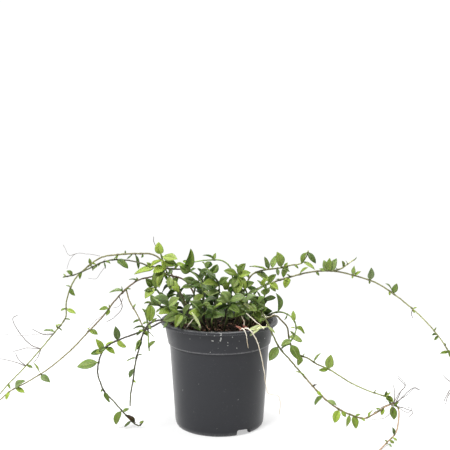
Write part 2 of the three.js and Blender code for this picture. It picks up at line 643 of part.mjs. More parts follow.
/** The compost: it fills the pot from its floor to a slight mound below the lip. */
function makeSoil() {
  const inset = WALL + GAP;
  const bottom = FLOOR_HEIGHT + WALL + GAP;
  const bandRise = (SOIL_EDGE_HEIGHT - LEDGE_HEIGHT) / (POT_HEIGHT - LIP_DEPTH - LEDGE_HEIGHT);
  const edgeRadius = THREE.MathUtils.lerp(BAND_FOOT_RADIUS, BAND_TOP_RADIUS, bandRise) - inset;
  return turned([
    [0, bottom],
    [WALL_FOOT_RADIUS - inset - SOIL_CORNER, bottom],
    [WALL_FOOT_RADIUS - inset, bottom + SOIL_CORNER],
    [WALL_TOP_RADIUS - inset, LEDGE_HEIGHT - LEDGE_SLOPE / 2],
    [BAND_FOOT_RADIUS - inset, LEDGE_HEIGHT + LEDGE_SLOPE / 2],
    [edgeRadius, SOIL_EDGE_HEIGHT],
    [edgeRadius / 2, SOIL_EDGE_HEIGHT + 0.75 * SOIL_MOUND],
    [0, SOIL_EDGE_HEIGHT + SOIL_MOUND],
  ]);
}

/** The smooth line through a list of points. */
function lineThrough(route) {
  return new THREE.CatmullRomCurve3(route.map((point) => new THREE.Vector3(...point)));
}

/** A regular outline for the section of a stem or root. */
function ring(radius, sides) {
  const shape = new THREE.Shape();
  for (let i = 0; i < sides; i += 1) {
    const angle = (i * 2 * Math.PI) / sides;
    const [x, y] = [radius * Math.cos(angle), radius * Math.sin(angle)];
    if (i === 0) {
      shape.moveTo(x, y);
    } else {
      shape.lineTo(x, y);
    }
  }
  return shape;
}

/** How many straight stretches a stalk is made of. */
function stretches(line, step) {
  return Math.max(3, Math.round(line.getLength() / step));
}

/** A round stalk along a line. */
function stalk(line, radius, sides, step) {
  const steps = stretches(line, step);
  const geometry = new THREE.ExtrudeGeometry(ring(radius, sides), { steps, extrudePath: line });
  return toSolid(geometry);
}

/** The point in the middle of a stem's stalk at a place along it, from 0 to 1. */
function pointOnStem(line, place) {
  const steps = stretches(line, STEM_STEP);
  const first = Math.min(Math.floor(place * steps), steps - 1);
  const start = line.getPointAt(first / steps);
  return start.lerp(line.getPointAt((first + 1) / steps), place * steps - first);
}

/** A leaf from its root inside the stem: thick along its middle, sharp at its edges and tip. */
function leafSolid(root, direction, length, light, spare) {
  const half = (length * LEAF_WIDTH_RATIO) / 2 + spare;
  const middle = LEAF_WIDEST_AT * length;
  const across = new THREE.Vector3().crossVectors(direction, light).normalize();
  const upper = new THREE.Vector3().crossVectors(across, direction);
  const corners = [
    [0, -spare, 0], [half, middle, 0], [0, length + spare, 0], [-half, middle, 0],
    [0, middle, LEAF_THICKNESS / 2 + spare], [0, middle, -LEAF_THICKNESS / 2 - spare],
  ];
  const geometry = new THREE.BufferGeometry();
  geometry.setAttribute('position', new THREE.Float32BufferAttribute(corners.flat(), 3));
  geometry.setIndex([0, 1, 4, 1, 2, 4, 2, 3, 4, 3, 0, 4, 1, 0, 5, 2, 1, 5, 3, 2, 5, 0, 3, 5]);
  geometry.applyMatrix4(new THREE.Matrix4().makeBasis(across, direction, upper).setPosition(root));
  return toSolid(geometry);
}

/** Direction of a leaf from its heading seen from the front and its turn towards the front. */
function headingToDirection(heading, turn) {
  const a = THREE.MathUtils.degToRad(heading);
  const b = THREE.MathUtils.degToRad(turn);
  return new THREE.Vector3(Math.cos(a) * Math.cos(b), -Math.sin(b), Math.sin(a) * Math.cos(b));
}

/** Heading and turn of a direction: the inverse of headingToDirection. */
function directionToHeading(direction) {
  const heading = THREE.MathUtils.radToDeg(Math.atan2(direction.z, direction.x));
  const turn = THREE.MathUtils.radToDeg(Math.asin(THREE.MathUtils.clamp(-direction.y, -1, 1)));
  return [heading, turn];
}

/** Opposite pairs of leaves up a stem, as [place, length, heading, turn] rows. */
function pairedLeaves(line, { from, to, count, longest, roll }) {
  const rows = [];
  for (let i = 0; i < count; i += 1) {
    const share = i / (count - 1);
    const place = from + (to - from) * share;
    const length = longest * (1 - PAIR_SHORTENING * share * share);
    const ahead = line.getTangentAt(place);
    const side = new THREE.Vector3(0, 1, 0).cross(ahead).normalize();
    const quarter = THREE.MathUtils.degToRad(roll + 90 * (i % 2));
    side.applyAxisAngle(ahead, quarter);
    for (const sign of [1, -1]) {
      const opening = THREE.MathUtils.degToRad(PAIR_OPENING - PAIR_CLOSING * share);
      const direction = ahead.clone().multiplyScalar(Math.cos(opening));
      direction.addScaledVector(side, sign * Math.sin(opening));
      rows.push([place, length, ...directionToHeading(direction)]);
    }
  }
  return rows;
}

/** Whether a solid stays above the ground and clear of every solid in a list. */
function isClear(solid, others) {
  const box = solid.boundingBox();
  return box.min[2] > 0 && others.every(({ solid: other, box: otherBox }) => {
    const apart = [0, 1, 2].some((i) => box.min[i] > otherBox.max[i] || box.max[i] < otherBox.min[i]);
    return apart || solid.intersect(other).isEmpty();
  });
}

/** A solid with its box and the name of the piece it belongs to. */
function claim(owner, solid) {
  return { owner, solid, box: solid.boundingBox() };
}

/** The first swing of a leaf that is clear of its neighbours, or null where there is no room. */
function growLeaf(line, [place, length, heading, turn], light, neighbours) {
  const root = pointOnStem(line, Math.min(place, SHOOT_TIP));
  for (const [aside, forward] of SWINGS) {
    const direction = headingToDirection(heading + aside, turn + forward);
    if (isClear(leafSolid(root, direction, length, light, LEAF_CLEARANCE), neighbours)) {
      return leafSolid(root, direction, length, light, 0);
    }
  }
  return null;
}

/** A root along a route. */
function makeRoot(route, radius) {
  return stalk(lineThrough(route), radius, ROOT_SIDES, ROOT_STEP);
}

/** The stems of a shoot: its own line, its side branches and its aerial roots. */
function makeStems(shoot) {
  const line = lineThrough(shoot.route);
  const stems = [{ line, leaves: shoot.leaves ?? pairedLeaves(line, shoot.pairs) }];
  for (const branch of shoot.branches ?? []) {
    stems.push({ line: lineThrough(branch.route), leaves: branch.leaves });
  }
  const solids = stems.map((stem) => stalk(stem.line, STEM_RADIUS, STEM_SIDES, STEM_STEP));
  const roots = (shoot.roots ?? []).map((route) => makeRoot(route, AERIAL_ROOT_RADIUS));
  return { stems, solid: wasm.Manifold.union([...solids, ...roots]) };
}

/** Grows every shoot: all the stems first, then leaf by leaf into the space that is free. */
function growShoots(shoots, obstacles) {
  const grown = shoots.map((shoot) => ({ shoot, ...makeStems(shoot), leaves: [] }));
  const taken = obstacles.map((solid) => claim('holder', solid));
  for (const { shoot, solid } of grown) {
    taken.push(claim(shoot.name, solid));
  }
  for (const item of grown) {
    const light = new THREE.Vector3(...(item.shoot.rear ? REAR_LIGHT : FRONT_LIGHT)).normalize();
    for (const { line, leaves } of item.stems) {
      for (const row of leaves) {
        const neighbours = taken.filter(({ owner }) => owner !== item.shoot.name);
        const leaf = growLeaf(line, row, light, neighbours);
        if (leaf !== null) {
          item.leaves.push(leaf);
          taken.push(claim(item.shoot.name, leaf));
        }
      }
    }
  }
  return grown.map(({ shoot, solid, leaves }) => {
    const whole = wasm.Manifold.union([solid, ...leaves]);
    return toMesh(shoot.name, whole, shoot.finish ?? FINISHES.crown);
  });
}

const pot = makePot();
const soil = makeSoil();
const strands = ROOT_STRANDS.map(({ name, route }) => ({ name, solid: makeRoot(route, STRAND_RADIUS) }));
const rearShoots = REAR_SHOOTS.map((shoot) => ({ ...shoot, rear: true }));
const obstacles = [pot, soil, ...strands.map(({ solid }) => solid)];

const plant = new THREE.Group();
plant.add(toMesh('pot', pot, FINISHES.pot));
plant.add(toMesh('potting_soil', soil, FINISHES.soil));
for (const { name, solid } of strands) {
  plant.add(toMesh(name, solid, FINISHES.root));
}
for (const mesh of growShoots([...TRAILING_SHOOTS, ...rearShoots, ...CROWN_SHOOTS], obstacles)) {
  plant.add(mesh);
}

export default plant;
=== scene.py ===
"""A potted lesser periwinkle: nursery pot, bark compost, leafy crown, arching runners and roots.

The part's solids are the frame: every piece below lies on the node that it stands for, in metres.
"""

import logging
import math
import random
from dataclasses import dataclass, field
from enum import Enum
from typing import Optional, Sequence

import bmesh
import bpy
from mathutils import Matrix, Vector
from mathutils.kdtree import KDTree


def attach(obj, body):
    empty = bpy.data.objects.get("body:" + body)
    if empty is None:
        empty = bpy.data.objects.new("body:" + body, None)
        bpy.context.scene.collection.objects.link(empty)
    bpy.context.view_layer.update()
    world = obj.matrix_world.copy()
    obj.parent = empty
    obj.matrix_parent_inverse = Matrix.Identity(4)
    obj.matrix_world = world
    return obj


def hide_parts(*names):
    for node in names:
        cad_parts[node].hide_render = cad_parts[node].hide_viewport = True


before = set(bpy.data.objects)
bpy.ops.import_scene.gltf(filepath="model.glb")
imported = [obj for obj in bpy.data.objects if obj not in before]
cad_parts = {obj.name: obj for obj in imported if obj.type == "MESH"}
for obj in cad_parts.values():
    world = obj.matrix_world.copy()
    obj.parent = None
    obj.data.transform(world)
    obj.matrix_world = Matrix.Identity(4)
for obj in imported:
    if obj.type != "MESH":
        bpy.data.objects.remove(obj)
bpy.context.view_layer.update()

LOG = logging.getLogger("potted_periwinkle")
MM = 0.001
Point = tuple[float, float, float]
LeafRow = tuple[float, float, float, float]

# The pot's outline in millimetres, as the frame has it.
POT_HEIGHT = 136.0
LIP_RADIUS = 75.0
LIP_DEPTH = 4.0
BAND_TOP_RADIUS = 70.2
BAND_FOOT_RADIUS = 65.8
LEDGE_HEIGHT = 107.0
WALL_TOP_RADIUS = 63.8
WALL_FOOT_RADIUS = 57.2
FOOT_RADIUS = 54.5
FOOT_RING_WIDTH = 4.0
FLOOR_HEIGHT = 6.0
WALL = 1.4
SOIL_EDGE_HEIGHT = 125.5
SOIL_MOUND = 2.0

# How a shoot is put together, as the frame has it.
STEM_STEP = 12.0
SHOOT_TIP = 0.985
PAIR_OPENING = 58.0
SWINGS = (
    (0, 0), (0, 25), (0, -25), (25, 0), (-25, 0), (25, 25), (-25, 25),
    (25, -25), (-25, -25), (45, 0), (-45, 0), (0, 50), (0, -50), (45, 40), (-45, 40),
)


class Bark(Enum):
    """The look of a shoot's stem: (old end, young end) in linear colour."""

    OLIVE = ((0.16, 0.14, 0.06), (0.30, 0.34, 0.11))
    DARK = ((0.045, 0.035, 0.025), (0.09, 0.10, 0.035))
    BROWN = ((0.17, 0.11, 0.065), (0.26, 0.24, 0.10))
    GREEN = ((0.06, 0.065, 0.025), (0.26, 0.38, 0.10))
    PALE = ((0.15, 0.14, 0.06), (0.48, 0.50, 0.24))
    RUSTY = ((0.15, 0.17, 0.05), (0.44, 0.28, 0.17))


@dataclass(frozen=True)
class LeafPairs:
    """Opposite pairs of leaves up a stem, each pair a quarter turn from the last."""

    first: float
    last: float
    count: int
    longest: float
    roll: float


@dataclass(frozen=True)
class Branch:
    """A side stem: its route in millimetres and its leaves."""

    route: tuple[Point, ...]
    leaves: tuple[LeafRow, ...]


@dataclass(frozen=True)
class ShootPlan:
    """What one shoot is grown from.

    Route points are in millimetres. A leaf row is its place along the stem, its length, its
    heading seen from the front (0 right, 90 up) and its turn towards the front, in degrees.
    """

    node: str
    route: tuple[Point, ...]
    leaves: tuple[LeafRow, ...] = ()
    pairs: Optional[LeafPairs] = None
    branches: tuple[Branch, ...] = ()
    roots: tuple[tuple[Point, ...], ...] = ()
    bark: Bark = Bark.GREEN
    freshness: float = 0.35
    broad: float = 1.0
    rear: bool = False


@dataclass(frozen=True)
class RootStrandPlan:
    """A bare root strand that hangs over the rim: its route in millimetres."""

    node: str
    route: tuple[Point, ...]


# ---- Shoots and roots, as the frame has them -----------------------------------------------------
SHOOTS = (
    ShootPlan(
        node="trailing_shoot_left_high_arch",
        route=(
            (-34, 18, 129), (-52, 20, 168), (-70, 21, 203), (-86, 21, 216), (-106, 23, 217),
            (-134, 27, 215), (-155, 29, 211), (-175, 33, 197), (-192, 36, 180), (-204, 40, 150),
            (-206, 42, 128), (-221, 46, 108), (-242, 50, 83), (-264, 54, 58), (-292, 58, 29),
            (-305, 59, 14), (-314, 60, 6),
        ),
        leaves=(
            (0.266, 6, -110, 5), (0.289, 21, -75, 15), (0.295, 11, -140, 20), (0.318, 5, 90, 0),
            (0.34, 7, -115, 10), (0.434, 9, 95, 10), (0.44, 6, -5, 20), (0.529, 7, 160, 10),
            (0.533, 12, -55, 15), (0.6, 8, -160, 10), (0.6, 15, -25, 5), (0.636, 9, 0, 10),
            (0.656, 7, -165, 15), (0.671, 7, -30, 20), (0.673, 7, 110, 10), (0.689, 15, 170, 5),
            (0.832, 10, -20, 15), (0.918, 8, -65, 20),
        ),
        roots=(
            (
                (-242, 50, 83), (-256, 49, 89), (-266, 48, 101), (-276, 48, 116), (-278, 48, 126),
                (-271, 48, 130),
            ),
            (
                (-242, 50, 83), (-262, 49, 84), (-280, 49, 79),
            ),
            (
                (-242, 50, 83), (-244, 46, 76), (-250, 43, 66),
            ),
            (
                (-264, 54, 58), (-273, 52, 68), (-277, 52, 77),
            ),
            (
                (-264, 54, 58), (-280, 50, 66), (-298, 48, 70),
            ),
            (
                (-224, 46, 104), (-236, 45, 104), (-252, 44, 112),
            ),
        ),
        bark=Bark.OLIVE,
        freshness=0.48,
    ),
    ShootPlan(
        node="trailing_shoot_left_dark",
        route=(
            (-20, 8, 129), (-20, 5, 160), (-22, 3, 185), (-27, 2, 192), (-36, 1, 197), (-42, -1, 200),
            (-54, -3, 201), (-66, -4, 202), (-88, -5, 205), (-99, -6, 209), (-116, -7, 213),
            (-133, -9, 214), (-147, -10, 211), (-162, -12, 204), (-184, -14, 195), (-196, -15, 193),
        ),
        leaves=(
            (0.317, 10, 30, 25), (0.405, 12, 40, 20), (0.415, 12, -135, 25), (0.477, 10, 35, 20),
            (0.5, 30, -165, 10), (0.518, 10, 140, 20), (0.709, 19, -35, 15), (0.729, 7, 40, 20),
            (0.771, 8, -15, 15), (0.776, 9, -75, 10), (0.779, 5, 55, 10), (0.786, 7, -135, 10),
            (0.81, 8, -130, 25), (0.817, 7, 160, 10), (0.841, 5, -85, 10), (0.9, 10, -105, 15),
            (0.952, 10, 140, 10), (0.985, 5, -165, 5), (0.985, 5, 135, 5),
        ),
        bark=Bark.DARK,
        freshness=0.4,
    ),
    ShootPlan(
        node="trailing_shoot_left_long",
        route=(
            (-28, 10, 129), (-30, 8, 159), (-38, 6, 177), (-45, 3, 186), (-60, -2, 192), (-75, -6, 195),
            (-88, -5, 191), (-103, -4, 187), (-119, -2, 175), (-135, 0, 158), (-147, 1, 142),
            (-170, 4, 117), (-194, 6, 92), (-225, 10, 66), (-255, 13, 47), (-275, 14, 36),
            (-291, 15, 22), (-304, 15, 10), (-315, 15, 4),
        ),
        leaves=(
            (0.181, 12, -125, 25), (0.223, 11, -50, 25), (0.232, 13, -135, 20), (0.307, 5, 110, 10),
            (0.307, 12, 170, 10), (0.362, 10, 20, 15), (0.365, 19, 180, 20), (0.371, 9, 95, 5),
            (0.436, 5, 100, 5), (0.438, 10, -110, 15), (0.438, 13, -175, 15), (0.536, 5, 130, 10),
            (0.536, 13, -20, 20), (0.756, 18, -35, 20), (0.756, 20, 115, 15), (0.854, 15, -20, 15),
            (0.856, 20, 40, 15), (0.876, 12, -115, 15),
        ),
        branches=(
            Branch(
                route=(
                    (-119, -2, 175), (-114, -7, 160), (-106, -13, 148), (-100, -18, 138),
                    (-94, -22, 126),
                ),
                leaves=(
                    (0.45, 7, 60, 10), (0.75, 9, 200, 10), (0.97, 10, -60, 20),
                ),
            ),
        ),
        roots=(
            (
                (-128, -1, 165), (-124, -6, 152), (-134, -10, 140), (-144, -8, 134),
            ),
        ),
        bark=Bark.BROWN,
        freshness=0.5,
    ),
    ShootPlan(
        node="trailing_shoot_left_hanging_loop",
        route=(
            (-48, -26, 129), (-60, -29, 138), (-71, -30, 139), (-83, -30, 133), (-109, -29, 122),
            (-122, -28, 117), (-135, -28, 111), (-144, -28, 104), (-149, -27, 95), (-152, -27, 84),
            (-153, -27, 72), (-150, -26, 60), (-145, -26, 48), (-134, -26, 36), (-121, -25, 20),
            (-108, -24, 6), (-102, -24, 3), (-97, -24, 8),
        ),
        leaves=(
            (0.198, 20, 175, 20), (0.204, 15, -150, 25), (0.371, 20, 95, 10), (0.374, 15, -30, 20),
            (0.389, 13, -160, 25), (0.441, 11, -155, 20), (0.45, 15, -25, 15), (0.457, 12, -160, 15),
            (0.464, 17, -165, 5), (0.464, 19, 120, 15), (0.535, 28, -170, 10), (0.689, 5, -130, 5),
            (0.7, 16, -60, 15), (0.844, 20, -115, 10), (0.848, 10, 25, 10), (0.877, 16, -35, 15),
            (0.918, 12, -140, 15), (0.976, 7, 30, 5),
        ),
        bark=Bark.DARK,
        freshness=0.32,
    ),
    ShootPlan(
        node="trailing_shoot_left_front",
        route=(
            (-38, -38, 129), (-54, -44, 141), (-70, -46, 145), (-86, -46, 140), (-94, -46, 126),
            (-98, -47, 110), (-103, -47, 92), (-106, -48, 70), (-109, -49, 54), (-110, -50, 38),
        ),
        leaves=(
            (0.187, 11, -125, 25), (0.234, 12, 130, 25), (0.318, 11, 45, 25), (0.419, 8, 150, 25),
            (0.465, 18, -115, 15), (0.47, 14, -110, 20), (0.607, 7, 20, 10), (0.624, 13, -165, 15),
            (0.708, 13, -120, 10), (0.798, 5, -50, 5),
        ),
        bark=Bark.DARK,
        freshness=0.34,
    ),
    ShootPlan(
        node="trailing_shoot_left_rim_cluster",
        route=(
            (-56, -2, 129), (-66, -14, 148), (-76, -20, 158), (-86, -22, 160), (-92, -24, 150),
            (-90, -26, 138), (-89, -27, 127), (-88, -34, 112), (-87, -35, 103),
        ),
        leaves=(
            (0.29, 11, -155, 30), (0.345, 13, 50, 25), (0.368, 18, 120, 15), (0.438, 10, 175, 10),
            (0.448, 23, -95, 10), (0.581, 9, 125, 10), (0.669, 7, -155, 15), (0.669, 13, -55, 15),
            (0.714, 9, -115, 10), (0.777, 10, -40, 20), (0.955, 12, 45, 10),
        ),
        bark=Bark.GREEN,
        freshness=0.55,
    ),
    ShootPlan(
        node="trailing_shoot_right_high_arch",
        route=(
            (20, 6, 129), (27, 1, 150), (37, -3, 167), (48, -3, 175), (61, -2, 181), (79, 0, 187),
            (94, 2, 191), (112, 4, 195), (128, 6, 197), (150, 9, 196), (178, 12, 189), (203, 15, 180),
            (225, 17, 166), (253, 22, 144), (271, 24, 127), (287, 27, 109), (302, 30, 88),
            (310, 31, 66), (313, 32, 40), (312, 32, 16), (309, 32, 3),
        ),
        leaves=(
            (0.128, 12, -115, 25), (0.144, 12, 125, 20), (0.169, 13, -55, 15), (0.201, 7, 170, 10),
            (0.208, 10, -25, 20), (0.228, 16, -115, 20), (0.235, 8, 155, 10), (0.259, 15, 45, 15),
            (0.308, 7, -55, 15), (0.342, 12, 165, 10), (0.342, 16, 110, 10), (0.347, 19, 90, 15),
            (0.352, 20, 70, 20), (0.417, 5, -90, 5), (0.42, 13, 85, 5), (0.423, 11, 35, 15),
            (0.472, 5, -95, 5), (0.475, 18, 90, 10), (0.541, 6, -85, 5), (0.552, 18, 125, 15),
            (0.556, 15, 75, 10), (0.634, 6, -70, 10), (0.634, 6, 25, 10), (0.731, 6, 65, 10),
            (0.748, 8, 180, 10), (0.751, 8, -130, 5), (0.792, 5, 105, 5), (0.803, 10, -75, 15),
            (0.814, 12, -175, 10),
        ),
        branches=(
            Branch(
                route=(
                    (143, 8, 196.5), (156, 11, 199), (165, 12, 205), (174, 12, 211),
                ),
                leaves=(
                    (0.3, 7, 150, 20), (0.5, 9, 100, 10), (0.7, 7, 120, 30), (0.97, 6, 50, 10),
                ),
            ),
        ),
        roots=(
            (
                (253, 22, 144), (251, 21, 138), (252, 20, 132),
            ),
            (
                (313, 32, 40), (304, 31, 46), (298, 31, 52),
            ),
            (
                (313, 32, 36), (306, 31, 28), (300, 30, 16),
            ),
            (
                (312, 32, 30), (307, 36, 22), (304, 38, 10),
            ),
        ),
        bark=Bark.PALE,
        freshness=0.72,
    ),
    ShootPlan(
        node="trailing_shoot_right_upper",
        route=(
            (26, 22, 129), (31, 19, 165), (42, 17, 190), (60, 16, 197), (78, 18, 199), (92, 21, 202),
            (106, 24, 204), (113, 25, 212), (116, 26, 221),
        ),
        leaves=(
            (0.287, 11, 40, 20), (0.387, 12, 130, 10), (0.462, 23, -30, 20), (0.513, 13, -55, 25),
            (0.558, 24, 165, 15), (0.582, 19, 110, 15), (0.606, 19, 70, -10), (0.649, 10, -80, 20),
            (0.687, 24, 105, 15), (0.692, 12, -25, 20), (0.712, 8, 50, 10), (0.751, 17, -115, 15),
            (0.804, 8, -40, 10), (0.884, 21, -30, 15), (0.985, 19, -120, 15), (0.985, 19, -55, 15),
        ),
        bark=Bark.OLIVE,
        freshness=0.6,
    ),
    ShootPlan(
        node="trailing_shoot_right_middle",
        route=(
            (50, -14, 129), (59, -17, 139), (71, -18, 144), (79, -16, 137), (86, -12, 128),
            (88, -8, 118), (90, -5, 107), (95, -2, 95), (104, 0, 88), (114, 0, 84), (127, -1, 76),
            (140, -3, 71), (155, -5, 62), (168, -6, 54), (181, -8, 48), (196, -9, 42), (209, -10, 38),
            (216, -11, 36),
        ),
        leaves=(
            (0.292, 18, -20, 20), (0.341, 24, -60, 20), (0.445, 14, -110, 15), (0.457, 5, 55, 5),
            (0.528, 16, 55, 10), (0.623, 14, -180, 15), (0.627, 21, 85, 10), (0.918, 5, 50, 5),
            (0.97, 13, -25, 20), (0.982, 8, 75, 10), (0.985, 10, 50, 20), (0.985, 13, -35, 20),
        ),
        bark=Bark.OLIVE,
        freshness=0.75,
    ),
    ShootPlan(
        node="trailing_shoot_right_rooting",
        route=(
            (36, -20, 129), (47, -30, 156), (52, -39, 155), (56, -46, 147), (61, -50, 138),
            (67, -48, 124), (73, -38, 111), (79, -35, 102), (86, -34, 94), (97, -33, 81),
            (109, -33, 67), (121, -33, 53), (134, -34, 40), (149, -35, 29), (164, -36, 22),
            (182, -36, 17), (197, -33, 23), (212, -27, 30), (221, -25, 32), (226, -28, 27),
            (223, -44, 16), (216, -62, 8), (204, -78, 4), (194, -92, 2), (187, -104, 2),
        ),
        leaves=(
            (0.111, 11, 45, 20), (0.141, 10, -165, 30), (0.251, 22, -125, 20), (0.269, 14, 40, 25),
            (0.389, 15, 145, 15), (0.43, 6, 25, 5), (0.446, 11, -45, 20), (0.475, 15, -140, 25),
            (0.492, 16, -25, 10), (0.544, 18, -110, 10), (0.552, 10, -55, 10), (0.58, 16, -105, 15),
            (0.59, 17, -75, 20), (0.599, 8, 25, 10), (0.616, 8, -35, 10), (0.643, 12, 65, 15),
            (0.68, 7, -155, 10), (0.693, 8, 165, 15), (0.705, 10, -110, 15), (0.729, 7, 110, 20),
            (0.736, 19, -80, 10), (0.743, 9, 45, 20), (0.746, 8, -20, 20), (0.88, 11, 105, 10),
            (0.896, 8, -30, 15), (0.914, 7, -75, 10), (0.928, 5, 140, 5), (0.935, 9, -25, 25),
        ),
        roots=(
            (
                (221, -26, 30), (230, -21, 46), (236, -18, 53), (227, -18, 63),
            ),
            (
                (221, -26, 30), (233, -25, 42), (246, -26, 53), (253, -28, 51),
            ),
            (
                (221, -26, 30), (235, -27, 26), (244, -31, 23), (238, -35, 18),
            ),
            (
                (221, -26, 30), (216, -12, 26), (204, -2, 16),
            ),
            (
                (221, -26, 30), (224, -14, 44), (223, -12, 52),
            ),
        ),
        bark=Bark.RUSTY,
        freshness=0.65,
    ),
    ShootPlan(
        node="trailing_shoot_right_rim",
        route=(
            (50, -2, 129), (60, -6, 140), (71, -12, 147), (82, -20, 148), (92, -26, 142),
            (96, -29, 131), (93, -31, 121), (89, -31, 114),
        ),
        leaves=(
            (0.209, 13, -130, 30), (0.372, 27, 95, 12), (0.542, 8, -120, 15), (0.689, 15, 95, 10),
            (0.765, 15, -35, 15), (0.792, 6, 170, 15), (0.883, 8, 140, 20), (0.931, 14, -20, 15),
            (0.963, 17, -155, 25),
        ),
        bark=Bark.GREEN,
        freshness=0.6,
    ),
    ShootPlan(
        node="rear_shoot_left",
        route=(
            (-26, 34, 129), (-36, 56, 144), (-42, 74, 143), (-45, 88, 118), (-44, 93, 80),
            (-40, 94, 42), (-30, 93, 10), (-14, 92, 3), (4, 92, 3),
        ),
        pairs=LeafPairs(first=0.2, last=0.9, count=6, longest=18, roll=20),
        rear=True,
    ),
    ShootPlan(
        node="rear_shoot_middle",
        route=(
            (4, 40, 129), (6, 62, 147), (7, 78, 146), (8, 90, 124), (9, 94, 90), (12, 94, 58),
            (16, 92, 34),
        ),
        pairs=LeafPairs(first=0.22, last=0.96, count=5, longest=17, roll=70),
        rear=True,
    ),
    ShootPlan(
        node="rear_shoot_right",
        route=(
            (30, 32, 129), (38, 54, 142), (45, 72, 142), (48, 85, 120), (46, 92, 86), (44, 93, 50),
            (40, 92, 20), (36, 88, 5), (30, 78, 3),
        ),
        pairs=LeafPairs(first=0.2, last=0.92, count=6, longest=18, roll=0),
        rear=True,
    ),
    ShootPlan(
        node="crown_shoot_left_tall",
        route=(
            (-36, -4, 129), (-46, -6, 158), (-60, -8, 186), (-69, -8, 204), (-74, -8, 222),
        ),
        leaves=(
            (0.476, 15, -160, 20), (0.569, 20, -150, 30), (0.635, 21, -55, 25), (0.695, 21, -80, 30),
            (0.745, 25, -120, 30), (0.785, 29, -120, 15), (0.805, 18, -165, 30), (0.87, 18, -5, 10),
            (0.907, 18, -155, 20), (0.926, 18, -80, 40), (0.954, 23, -5, 25), (0.985, 17, 100, 5),
        ),
        freshness=0.36,
        broad=1.25,
    ),
    ShootPlan(
        node="crown_shoot_left_inner",
        route=(
            (-14, -10, 129), (-20, -18, 164), (-22, -20, 186), (-28, -21, 195), (-35, -22, 201),
            (-41, -22, 204),
        ),
        leaves=(
            (0.426, 19, -50, 40), (0.517, 18, -130, 35), (0.556, 18, -35, 35), (0.673, 17, -30, 20),
            (0.698, 15, -165, 20), (0.794, 17, 40, 15), (0.921, 17, 150, 10), (0.985, 28, 80, 10),
            (0.985, 17, 145, 15),
        ),
        freshness=0.4,
        broad=1.25,
    ),
    ShootPlan(
        node="crown_shoot_left_dark_leaves",
        route=(
            (-26, -2, 129), (-31, -6, 154), (-32, -8, 169), (-30, -9, 179), (-26, -9, 187),
        ),
        leaves=(
            (0.429, 18, -40, 30), (0.467, 17, -150, 30), (0.605, 16, -50, 30), (0.668, 16, -160, 25),
            (0.766, 16, -40, 30), (0.809, 19, 170, 20), (0.859, 14, -5, 25), (0.941, 21, 160, 15),
            (0.985, 13, 50, 10),
        ),
        freshness=0.12,
        broad=1.25,
    ),
    ShootPlan(
        node="crown_shoot_arching_tip",
        route=(
            (10, 6, 129), (14, 6, 160), (17, 6, 188), (13, 7, 203), (4, 8, 210), (-8, 9, 211),
            (-28, 10, 209), (-40, 10, 206),
        ),
        leaves=(
            (0.314, 19, 145, 10), (0.335, 17, 35, -10), (0.743, 17, 155, 10), (0.747, 10, 75, 10),
            (0.985, 10, 160, 5),
        ),
        freshness=0.5,
        broad=1.25,
    ),
    ShootPlan(
        node="crown_shoot_middle_front",
        route=(
            (-4, -24, 129), (-6, -32, 152), (-3, -38, 168), (0, -40, 181), (0, -40, 189),
        ),
        leaves=(
            (0.455, 18, -35, 35), (0.551, 19, -145, 35), (0.66, 18, -25, 35), (0.703, 20, -170, 35),
            (0.831, 17, -25, 30), (0.874, 17, -155, 40), (0.956, 24, 165, 30), (0.985, 28, 135, 20),
            (0.985, 16, 40, 15),
        ),
        freshness=0.34,
        broad=1.25,
    ),
    ShootPlan(
        node="crown_shoot_middle_thin",
        route=(
            (2, -4, 129), (8, -6, 146), (12, -8, 162), (12, -8, 175), (8, -8, 187),
        ),
        leaves=(
            (0.397, 16, 165, 25), (0.507, 16, 15, 25), (0.618, 15, 155, 20), (0.704, 15, 40, 20),
            (0.791, 18, 120, 10), (0.853, 15, 60, 15),
        ),
        freshness=0.2,
        broad=1.25,
    ),
    ShootPlan(
        node="crown_shoot_right_cluster",
        route=(
            (34, -16, 129), (35, -20, 157), (35, -22, 171), (30, -24, 184), (23, -24, 198),
        ),
        leaves=(
            (0.559, 17, -145, 30), (0.598, 16, 25, 15), (0.695, 18, -145, 30), (0.794, 15, 15, 10),
            (0.87, 20, -110, 30), (0.957, 18, -120, 25), (0.978, 19, 60, 0), (0.978, 21, -60, 25),
            (0.985, 20, 160, 15), (0.985, 18, 15, 25), (0.985, 19, 105, 35),
        ),
        freshness=0.58,
        broad=1.25,
    ),
    ShootPlan(
        node="crown_shoot_right",
        route=(
            (34, -14, 129), (39, -12, 155), (46, -12, 173), (54, -13, 180), (63, -14, 186),
        ),
        leaves=(
            (0.394, 16, 145, -10), (0.437, 19, -45, 30), (0.537, 13, 5, 10), (0.594, 22, -50, 20),
            (0.688, 16, 145, 15), (0.847, 14, 65, 10), (0.984, 16, -35, 10), (0.985, 15, 50, 10),
        ),
        freshness=0.52,
        broad=1.25,
    ),
    ShootPlan(
        node="crown_shoot_right_low",
        route=(
            (40, -26, 129), (39, -34, 147), (44, -38, 158), (48, -40, 164),
        ),
        leaves=(
            (0.669, 18, 0, 10), (0.717, 19, -55, 30), (0.765, 22, 170, 25), (0.916, 16, 50, 15),
            (0.985, 15, 150, 20),
        ),
        freshness=0.42,
        broad=1.25,
    ),
    ShootPlan(
        node="crown_shoot_front_pale",
        route=(
            (-14, -36, 129), (-21, -46, 143), (-23, -52, 154), (-24, -54, 162),
        ),
        leaves=(
            (0.614, 19, -165, 40), (0.694, 18, 40, 40), (0.79, 19, 165, 40), (0.853, 25, 125, 35),
            (0.853, 23, 60, 40),
        ),
        freshness=0.5,
        broad=1.25,
    ),
    ShootPlan(
        node="crown_shoot_left_front_rim",
        route=(
            (-26, -34, 129), (-36, -46, 145), (-45, -54, 154), (-50, -58, 156),
        ),
        leaves=(
